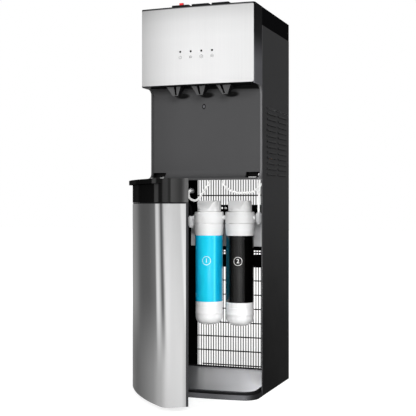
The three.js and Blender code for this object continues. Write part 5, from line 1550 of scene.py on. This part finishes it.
# ---- Cabinet ----
class COOLER_OT_cabinet(bpy.types.Operator):
    """Side panels with pressed louvres, decks, rear panel, hinges and catch"""

    bl_idname = "cooler.cabinet"
    bl_label = "Cabinet"

    def execute(self, context):
        sizes = context.scene.cooler_sizes
        keep("black_steel", "side_panel_left", "side_panel_right", "rear_panel")
        keep("zinc_plate", "deck", "tank_shelf")
        keep("hinge_plate", "hinge_bracket")
        keep("stainless", "hinge_pin")
        self.catch()
        self.louvres(sizes)
        self.screws()
        return {"FINISHED"}

    @staticmethod
    def catch():
        """Strike plate of the door's latch, with a turned-up end."""
        box = Box("door_catch")
        sheet = 2.2 * MM
        low = box.z0 + 0.5 * MM
        plate = Shape().box(box.x0 + 5 * MM, box.x0 + 27 * MM, box.y0 + 9 * MM, box.y1, low, low + sheet)
        rise = Shape().box(box.x0 + 5 * MM, box.x1 - 0.5 * MM, box.y1 - sheet, box.y1, low, box.z1)
        hook = Shape().box(box.x1 - 3 * MM, box.x1, box.y0 + 4 * MM, box.y1, low + 5 * MM, box.z1)
        strike = plate.join(rise, hook)
        piece("strike", strike, "strike_plate", "cabinet", "door_catch", round_edges=0.4 * MM)

    @staticmethod
    def screws():
        """Pan-head screws through the side panels' rear flanges."""
        panel = Box("rear_panel")
        head = [(0, 0), (3.6, 0), (3.6, 0.8), (2.9, 1.7), (1.6, 2.1), (0, 2.2)]
        long, short = 1.9 * MM, 0.35 * MM
        cross = [Shape().box(-a, a, -b, b, 1.2 * MM, 3 * MM) for a, b in ((long, short), (short, long))]
        screw = Shape().lathe([(r * MM, z * MM) for r, z in head], sides=20).cut(*cross)
        screw.moved(FACING @ Matrix.Rotation(math.pi, 4, "X"))
        rows = 5
        margin = 25 * MM
        column = INSIDE - 22 * MM
        pitch = (panel.z1 - panel.z0 - 2 * margin) / (rows - 1)
        first = (-column, BACK, panel.z0 + margin)
        grid = [first, (2 * column, 0, 0), 2, (0, 0, pitch), rows]
        repeat("rear_screws", screw, "stainless", "cabinet", *grid)

    def louvres(self, sizes):
        """Hoods over the slots of both side panels."""
        rows = sizes.louvre_rows
        pitch = 15 * MM
        height = 5 * MM
        reach = 88 * MM
        first_z = Box("deck").z0 + 4 * MM
        columns = (47 * MM, 155 * MM)
        step = (0, columns[1] - columns[0], 0)
        for side, name in ((-1, "left"), (1, "right")):
            lip = [
                (math.sin(a) * 2.2 * MM, height + 0.6 * MM - (1 - math.cos(a)) * height)
                for a in quarter_turn(6)
            ]
            inner = [(x - 0.8 * MM, z - 0.2 * MM) for x, z in reversed(lip)]
            hood = Shape().prism([*lip, *inner], 0, reach)
            stand = Matrix(((side, 0, 0, 0), (0, 0, 1, 0), (0, 1, 0, 0), (0, 0, 0, 1)))
            hood.moved(stand)
            first = (side * HALF, PANEL_FRONT + columns[0], first_z)
            grid = [first, step, len(columns), (0, 0, pitch), rows]
            repeat("louvres_" + name, hood, "black_steel", "cabinet", *grid)


# ---- Filter bay ----
NUMBER_Z = 0.351  # height of the printed figure
NUMBER_TURN = math.radians(9)  # towards the right


class COOLER_OT_filters(bpy.types.Operator):
    """Two cartridges with their labels, their heads, elbows, bracket and cross panel"""

    bl_idname = "cooler.filters"
    bl_label = "Filters"

    def execute(self, context):
        sizes = context.scene.cooler_sizes
        keep("black_steel", "crossbar")
        keep("fitting_grey", "filter_bracket")
        looks = ("label_cyan", "label_black")
        for i in (1, 2):
            self.cartridge(i, looks[i - 1], sizes)
            self.head(i)
        for node in ("inlet_elbow", "outlet_elbow"):
            self.elbow(node)
        return {"FINISHED"}

    @staticmethod
    def cartridge(i, look, sizes):
        node = f"filter_cartridge_{i}"
        box = Box(node)
        x, y = box.x, box.y
        r = LABEL_RADIUS
        cap = box.x1 - x
        top = Box(f"filter_head_{i}").z0 - GAP
        b = box.z0
        dome = [(r * math.sin(a) ** 0.6, b + 24 * MM * (1 - math.cos(a))) for a in quarter_turn(14)]
        profile = [
            (0, b), *dome[1:], (r, b + 31 * MM), (r + 0.6 * MM, b + 32 * MM),
            (r + 0.6 * MM, b + 36 * MM), (r, b + 37 * MM), (r, b + 52 * MM),
            (r - 0.5 * MM, b + 52.4 * MM), (r - 0.5 * MM, b + 53.4 * MM), (r, b + 53.8 * MM),
            (r, top - 34 * MM), (r + 1.5 * MM, top - 31 * MM), (cap - 0.4 * MM, top - 12 * MM),
            (cap, top - 10 * MM), (cap, top - 1.3 * MM), (cap - 2.4 * MM, top - 1.1 * MM),
            (cap - 2.4 * MM, top), (14 * MM, top), (14 * MM, box.z1 - MM), (13 * MM, box.z1),
            (0, box.z1),
        ]
        body = f"cartridge_{i}"
        piece(f"cartridge_shell_{i}", Shape().lathe(profile, x, y, 96), "white_plastic", body, node)
        film = 0.25 * MM
        low, high = sizes.label_low, sizes.label_high
        wrap = [
            (r - film, low), (r + 0.6 * film, low), (r + film, low + film), (r + film, high - film),
            (r + 0.6 * film, high), (r - film, high),
        ]
        piece(f"cartridge_label_{i}", tube_wall(wrap, x, y), look, body)
        mark = numeral(str(i), 17 * MM)
        ring(mark, 12.5 * MM, 1.1 * MM)
        stand = Matrix.Translation((x, y, NUMBER_Z)) @ Matrix.Rotation(NUMBER_TURN, 4, "Z")
        mark = mark.sliced(MM).wrapped(r + film).moved(stand)
        piece(f"cartridge_number_{i}", mark, "print_white", body)

    @staticmethod
    def head(i):
        node = f"filter_head_{i}"
        box = Box(node)
        cartridge = Box(f"filter_cartridge_{i}")
        x, y = cartridge.x, cartridge.y
        side = -1 if i == 1 else 1
        r = 42.5 * MM
        neck = 34 * MM
        low = box.z0
        step = box.z1 - 32 * MM
        profile = [
            (0, low), (r - 1 * MM, low), (r, low + 1.2 * MM), (r, step - 4 * MM),
            (r - 1 * MM, step - 1.2 * MM), (r - 3 * MM, step), (neck + 1.6 * MM, step),
            (neck + 1.4 * MM, step - 2 * MM), (neck - 1 * MM, step - 2 * MM),
            (neck - 1 * MM, step + 1 * MM), (neck, step + 1.4 * MM), (neck, box.z1 - 5 * MM),
            (neck - 1.4 * MM, box.z1 - 1.4 * MM), (neck - 5 * MM, box.z1), (0, box.z1),
        ]
        facet = Shape().box(-60 * MM, 60 * MM, -80 * MM, 0, 0, 60 * MM)
        tilt = Matrix.Rotation(math.radians(-16), 4, "Z") @ Matrix.Rotation(math.radians(-24), 4, "X")
        facet.moved(Matrix.Translation((x, y - neck + 4 * MM, step + 8 * MM)) @ tilt)
        port_z = low - GAP + 17 * MM
        centre = Matrix.Translation((x, y, port_z))
        port = Shape().rod(7 * MM, 0, r + 4 * MM)
        port.moved(centre @ Matrix.Rotation(side * math.pi / 2, 4, "Y"))
        link = Shape().rod(6 * MM, 0, abs(x) - 0.15 * MM)
        link.moved(centre @ Matrix.Rotation(-side * math.pi / 2, 4, "Y"))
        mount_top = Box("filter_bracket").z1 - 2 * MM
        mount = Shape().box(x - 20 * MM, x + 20 * MM, y, box.y1, low + 2 * MM, mount_top)
        socket = Shape().rod(14.5 * MM, low - MM, low + 18 * MM, x, y)
        body = Shape().lathe(profile, x, y, 96).cut(facet).join(port, link, mount).cut(socket)
        piece(f"filter_cap_{i}", body, "white_plastic", "cabinet", node, round_edges=0.5 * MM)

    @staticmethod
    def elbow(node):
        box = Box(node)
        r = 9 * MM
        profile = [
            (0, box.z0), (r * 0.6, box.z0), (r, box.z0 + 8 * MM), (r, box.z1 - 9 * MM),
            (r + 0.1 * MM, box.z1 - 8 * MM), (r, box.z1 - 4 * MM), (r * 0.75, box.z1 - 3 * MM),
            (r * 0.7, box.z1), (0, box.z1),
        ]
        body = Shape().lathe(profile, box.x, box.y, 48)
        piece(node + "_body", body, "fitting_grey", "cabinet", node)


def tube_wall(section, x, y, sides=96):
    """A ring turned from a closed section of (radius, z) points."""
    shape = Shape()
    rings = [
        [shape.bm.verts.new((x + r * math.cos(a), y + r * math.sin(a), z)) for r, z in section]
        for a in full_turn(sides)
    ]
    for here, ahead in zip(rings, [*rings[1:], rings[0]]):
        for j in range(len(section)):
            k = (j + 1) % len(section)
            shape.bm.faces.new((here[j], ahead[j], ahead[k], here[k]))
    return shape


# ---- Condenser ----
class COOLER_OT_condenser(bpy.types.Operator):
    """Serpentine pipe with upright wires before and behind it"""

    bl_idname = "cooler.condenser"
    bl_label = "Condenser"

    def execute(self, context):
        sizes = context.scene.cooler_sizes
        box = Box("condenser")
        r = sizes.pipe_radius
        half = box.x1 - 6 * MM
        riser_x = half + 2 * MM
        y = Box("rear_panel").y1 - 10 * MM
        first = box.z0 + 8 * MM
        top = Box("deck").z0 - 6.7 * MM
        rows = 13
        pitch = (top - first) / rows
        last = top - pitch
        corners = [(riser_x, y, box.z1), (riser_x, y, last)]
        for k in range(rows):
            z = last - k * pitch
            side = -1 if k % 2 == 0 else 1
            corners.append((side * half, y, z))
            if k < rows - 1:
                corners.append((side * half, y, z - pitch))
        corners[-1] = (side * (half - pitch / 2), y, z)
        pipe = Shape().tube(bent(corners, 3 * r), r)
        stub = Shape().tube([(-riser_x, y, last - 12 * MM), (-riser_x, y, box.z1)], r)
        piece("condenser_pipe", pipe, "wire_black", "cabinet", "condenser")
        piece("condenser_stub", stub, "wire_black", "cabinet")
        tabs = Shape()
        for x in (-riser_x, riser_x):
            for z in (first + 3 * pitch, first + 10 * pitch):
                tabs.box(x - 4 * MM, x + 4 * MM, y - MM, box.y1, z - 4 * MM, z + 4 * MM)
        piece("condenser_tabs", tabs, "wire_black", "cabinet", round_edges=0.3 * MM)
        low = box.z0
        high = top + 4 * MM
        step = sizes.wire_pitch
        phase = 1.6 * MM
        thin = sizes.wire_radius
        count = 2 * int((half + phase - 3 * MM) / step) + 1
        start = phase - (count // 2) * step
        gap = r + thin - 0.2 * MM
        lead = 0.73 * gap  # the rear wires show in the gaps between the front ones
        for name, look, x, wire_y in (
            ("wires_front", "wire_black", start, y - gap),
            ("wires_rear", "wire_rear", start - step / 2 - lead, y + gap),
        ):
            wire = Shape().lathe([(0, low), (thin, low), (thin, high), (0, high)], sides=8)
            repeat(name, wire, look, "cabinet", (x, wire_y, 0), (step, 0, 0), count)
        return {"FINISHED"}


# ---- Tubes ----
TUBE_RADIUS = 3.2 * MM
ROUTES = {  # points in millimetres
    "inlet": [
        (-143, 156.7, 554), (-143, 149, 554), (-143, 140, 546), (-138, 128, 537),
        (-126.7, 114, 528.2), (-106.1, 101, 523.4), (-89.7, 91, 532.5), (-76.4, 85, 548),
        (-61, 80, 566), (-52, 79, 586), (-52, 81, 619.5), (-52, 92, 700), (-54, 92, 768),
        (-55, 91, 789.5), (-70, 74, 805.5), (-77, 40, 805.5), (-82, 10, 799.5), (-97, -2, 792.5),
        (-100, -10, 790.8), (-100, -20.7, 790.8),
    ],
    "feed": [
        (-128.3, -45, 790.8), (-140, -45, 790.8), (-146, -36, 794.8), (-141, -24, 785.5),
        (-140, -24, 764), (-146, -20, 720), (-147, -18, 639.5), (-147, -18, 588), (-140, 0, 560),
        (-112, 46, 520.3), (-103.05, 57, 496.3), (-103.05, 57, 478.3),
    ],
    "purified": [
        (103.05, 57, 489.3), (103.05, 57, 507.3), (116, 20, 545.3), (129, -21, 576),
        (129, -21, 601.5), (134, -29, 639.5), (140, -35, 758), (140, -35, 789.5),
        (142, -42, 879.5), (134, -30, 950.1), (92, 2, 976.1), (50, 26, 974.1), (40, 30, 957.1),
        (40, 30, 937.4),
    ],
    "drain": [
        (-37.7, 30, 617.8), (-25.7, 30, 617.8), (-12.7, 44, 613.8), (-10, 69, 597.5),
        (-10, 69, 584), (-7, 69, 571), (0.4, 74, 560), (18.8, 84, 549), (42.6, 99, 546),
        (68.4, 119, 550), (80, 130, 563), (94, 136, 574), (118, 138, 574), (138, 141, 568),
        (143, 148, 566), (143, 156.7, 566),
    ],
    "hot": [
        (-92, 30, 766.1), (-92, 30, 823.5), (-94, 14, 855.5), (-86, -56, 884), (-74, -94, 878),
        (-71, -113.7, 865), (-71, -122.7, 865),
    ],
    "room": [
        (40, -79.3, 911.1), (40, -86, 911.1), (26, -94, 901.1), (4, -103, 880), (0, -113.7, 865),
        (0, -122.7, 865),
    ],
    "cold": [
        (40, -79.3, 829.1), (40, -86, 829.1), (50, -90, 842.1), (67, -99, 860), (71, -113.7, 865),
        (71, -122.7, 865),
    ],
}


class COOLER_OT_tubes(bpy.types.Operator):
    """Milky water tubes between the fittings, filters, tanks and faucets"""

    bl_idname = "cooler.tubes"
    bl_label = "Water Tubes"

    def execute(self, context):
        for name, points in ROUTES.items():
            look = "tube_black" if name == "feed" else "tube_white"
            tube(f"water_tube_{name}", points, TUBE_RADIUS, look, "cabinet", name + "_tube")
        return {"FINISHED"}


# ---- Machinery ----
class COOLER_OT_machinery(bpy.types.Operator):
    """Tanks, compressor, lines, tubes, valve, control box and rear fittings"""

    bl_idname = "cooler.machinery"
    bl_label = "Machinery"

    def execute(self, context):
        keep("compressor_black", "compressor")
        keep("copper", "discharge_line", "suction_line", "evaporator")
        keep("foam", "cold_jacket")
        keep("stainless", "cold_tank", "hot_tank")
        keep("white_plastic", "control_box", "inlet_valve")
        keep("signal_red", "switch_hot", "drain_plug")
        keep("switch_blue", "switch_cold")
        keep("switch_green", "switch_light")
        keep("satin_black", "power_inlet")
        keep("fitting_grey", "inlet_union")
        return {"FINISHED"}


# ---- Stage ----
STUDIO = (  # each lamp's name, place, what it is turned to, width, watts, spread in degrees
    ("key", (-0.5, -3.2, 1.0), (0, 0, 0.7), 1.0, 100, 180),
    ("fill", (1.7, -3.9, 1.9), (0, 0, 0.45), 1.6, 180, 180),
    ("bay", (0.62, -1.7, 0.12), (0.02, 0.05, 0.1), 0.5, 0.75, 40),
    ("back", (1.2, 3.2, 2.2), (0, 0, 0.6), 1.8, 60, 180),
)
AMBIENT = 0.32  # the sky's strength in soft light; in view and in reflections it is 1
EYE = (0.8758, -2.4815, 0.5122)
EYE_TURN = math.radians(20.05)  # to the left
LENS = 80.53  # focal length for a sensor 36 wide
LENS_SHIFT = -0.00875


class COOLER_OT_stage(bpy.types.Operator):
    """Pale floor, soft studio light and the camera"""

    bl_idname = "cooler.stage"
    bl_label = "Stage"

    def execute(self, context):
        scene = context.scene
        scene.view_settings.view_transform = "Standard"
        self.world(scene)
        self.floor()
        for row in STUDIO:
            self.lamp(*row)
        self.camera(scene)
        return {"FINISHED"}

    @staticmethod
    def world(scene):
        """White to the eye and in reflections, and a softer light on everything else."""
        scene.world = bpy.data.worlds.new("studio")
        sky = Nodes(scene.world)
        levels = {"Value": sky.seen(), "To Min": AMBIENT, "To Max": 1.0}
        level = sky.node("ShaderNodeMapRange", {}, levels)
        light = sky.node("ShaderNodeBackground", {}, {"Color": (1, 1, 1, 1), "Strength": level})
        sky.node("ShaderNodeOutputWorld", {}, {"Surface": light}, None)

    @staticmethod
    def floor():
        """A pale floor that shows white where it is lit and keeps a faint shadow."""
        material = bpy.data.materials.new("floor")
        ground = Nodes(material)
        spot = ground.place()
        away = ground.node("ShaderNodeVectorMath", {"operation": "LENGTH"}, {0: spot}, "Value")
        level = ground.seen() * (0.74 + ground.span(away, 0.7, 2.4) * 0.26)
        glow = ground.node("ShaderNodeEmission", {}, {"Color": (1, 1, 1, 1), "Strength": level})
        colour = ground.shades((0.45, 0.45, 0.45), ground.noise(spot, 0.8), 0.02)
        matt = ground.node("ShaderNodeBsdfDiffuse", {}, {"Color": colour})
        both = ground.node("ShaderNodeAddShader", {}, {0: glow, 1: matt})
        ground.node("ShaderNodeOutputMaterial", {}, {"Surface": both}, None)
        half = 15
        floor = Shape().box(-half, half, -half, half, -0.02, 0).object("floor")
        floor.data.materials.append(material)

    @staticmethod
    def lamp(name, place, target, size, watts, spread):
        light = bpy.data.lights.new(name, "AREA")
        light.shape = "SQUARE"
        light.size = size
        light.energy = watts
        light.spread = math.radians(spread)
        obj = bpy.data.objects.new(name, light)
        obj.location = place
        obj.visible_camera = False
        obj.visible_glossy = False
        obj.rotation_euler = (Vector(target) - Vector(place)).to_track_quat("-Z", "Y").to_euler()
        bpy.context.scene.collection.objects.link(obj)

    @staticmethod
    def camera(scene):
        data = bpy.data.cameras.new("camera")
        data.sensor_width = 36
        data.lens = LENS
        data.shift_y = LENS_SHIFT
        camera = bpy.data.objects.new("camera", data)
        camera.location = EYE
        camera.rotation_euler = (math.radians(90), 0, EYE_TURN)
        scene.collection.objects.link(camera)
        scene.camera = camera


STEPS = (
    COOLER_OT_stage,
    COOLER_OT_cabinet,
    COOLER_OT_base,
    COOLER_OT_head,
    COOLER_OT_keys,
    COOLER_OT_alcove,
    COOLER_OT_faucets,
    COOLER_OT_door,
    COOLER_OT_tray,
    COOLER_OT_filters,
    COOLER_OT_condenser,
    COOLER_OT_tubes,
    COOLER_OT_machinery,
)


class COOLER_PT_panel(bpy.types.Panel):
    """Builds the cooler step by step"""

    bl_idname = "COOLER_PT_panel"
    bl_label = "Water Cooler"
    bl_space_type = "VIEW_3D"
    bl_region_type = "UI"
    bl_category = "Water Cooler"

    def draw(self, context):
        for step in STEPS:
            self.layout.operator(step.bl_idname)
        for group in (context.scene.cooler_sizes, context.scene.cooler_colours):
            column = self.layout.column()
            for key in group.__annotations__:
                column.prop(group, key)


CLASSES = (CoolerColours, CoolerSizes, *STEPS, COOLER_PT_panel)


def register():
    for cls in CLASSES:
        bpy.utils.register_class(cls)
    bpy.types.Scene.cooler_colours = bpy.props.PointerProperty(type=CoolerColours)
    bpy.types.Scene.cooler_sizes = bpy.props.PointerProperty(type=CoolerSizes)


def unregister():
    del bpy.types.Scene.cooler_sizes
    del bpy.types.Scene.cooler_colours
    for cls in reversed(CLASSES):
        bpy.utils.unregister_class(cls)


def main():
    register()
    for step in STEPS:
        group, name = step.bl_idname.split(".")
        getattr(getattr(bpy.ops, group), name)()


if __name__ == "__main__":
    main()
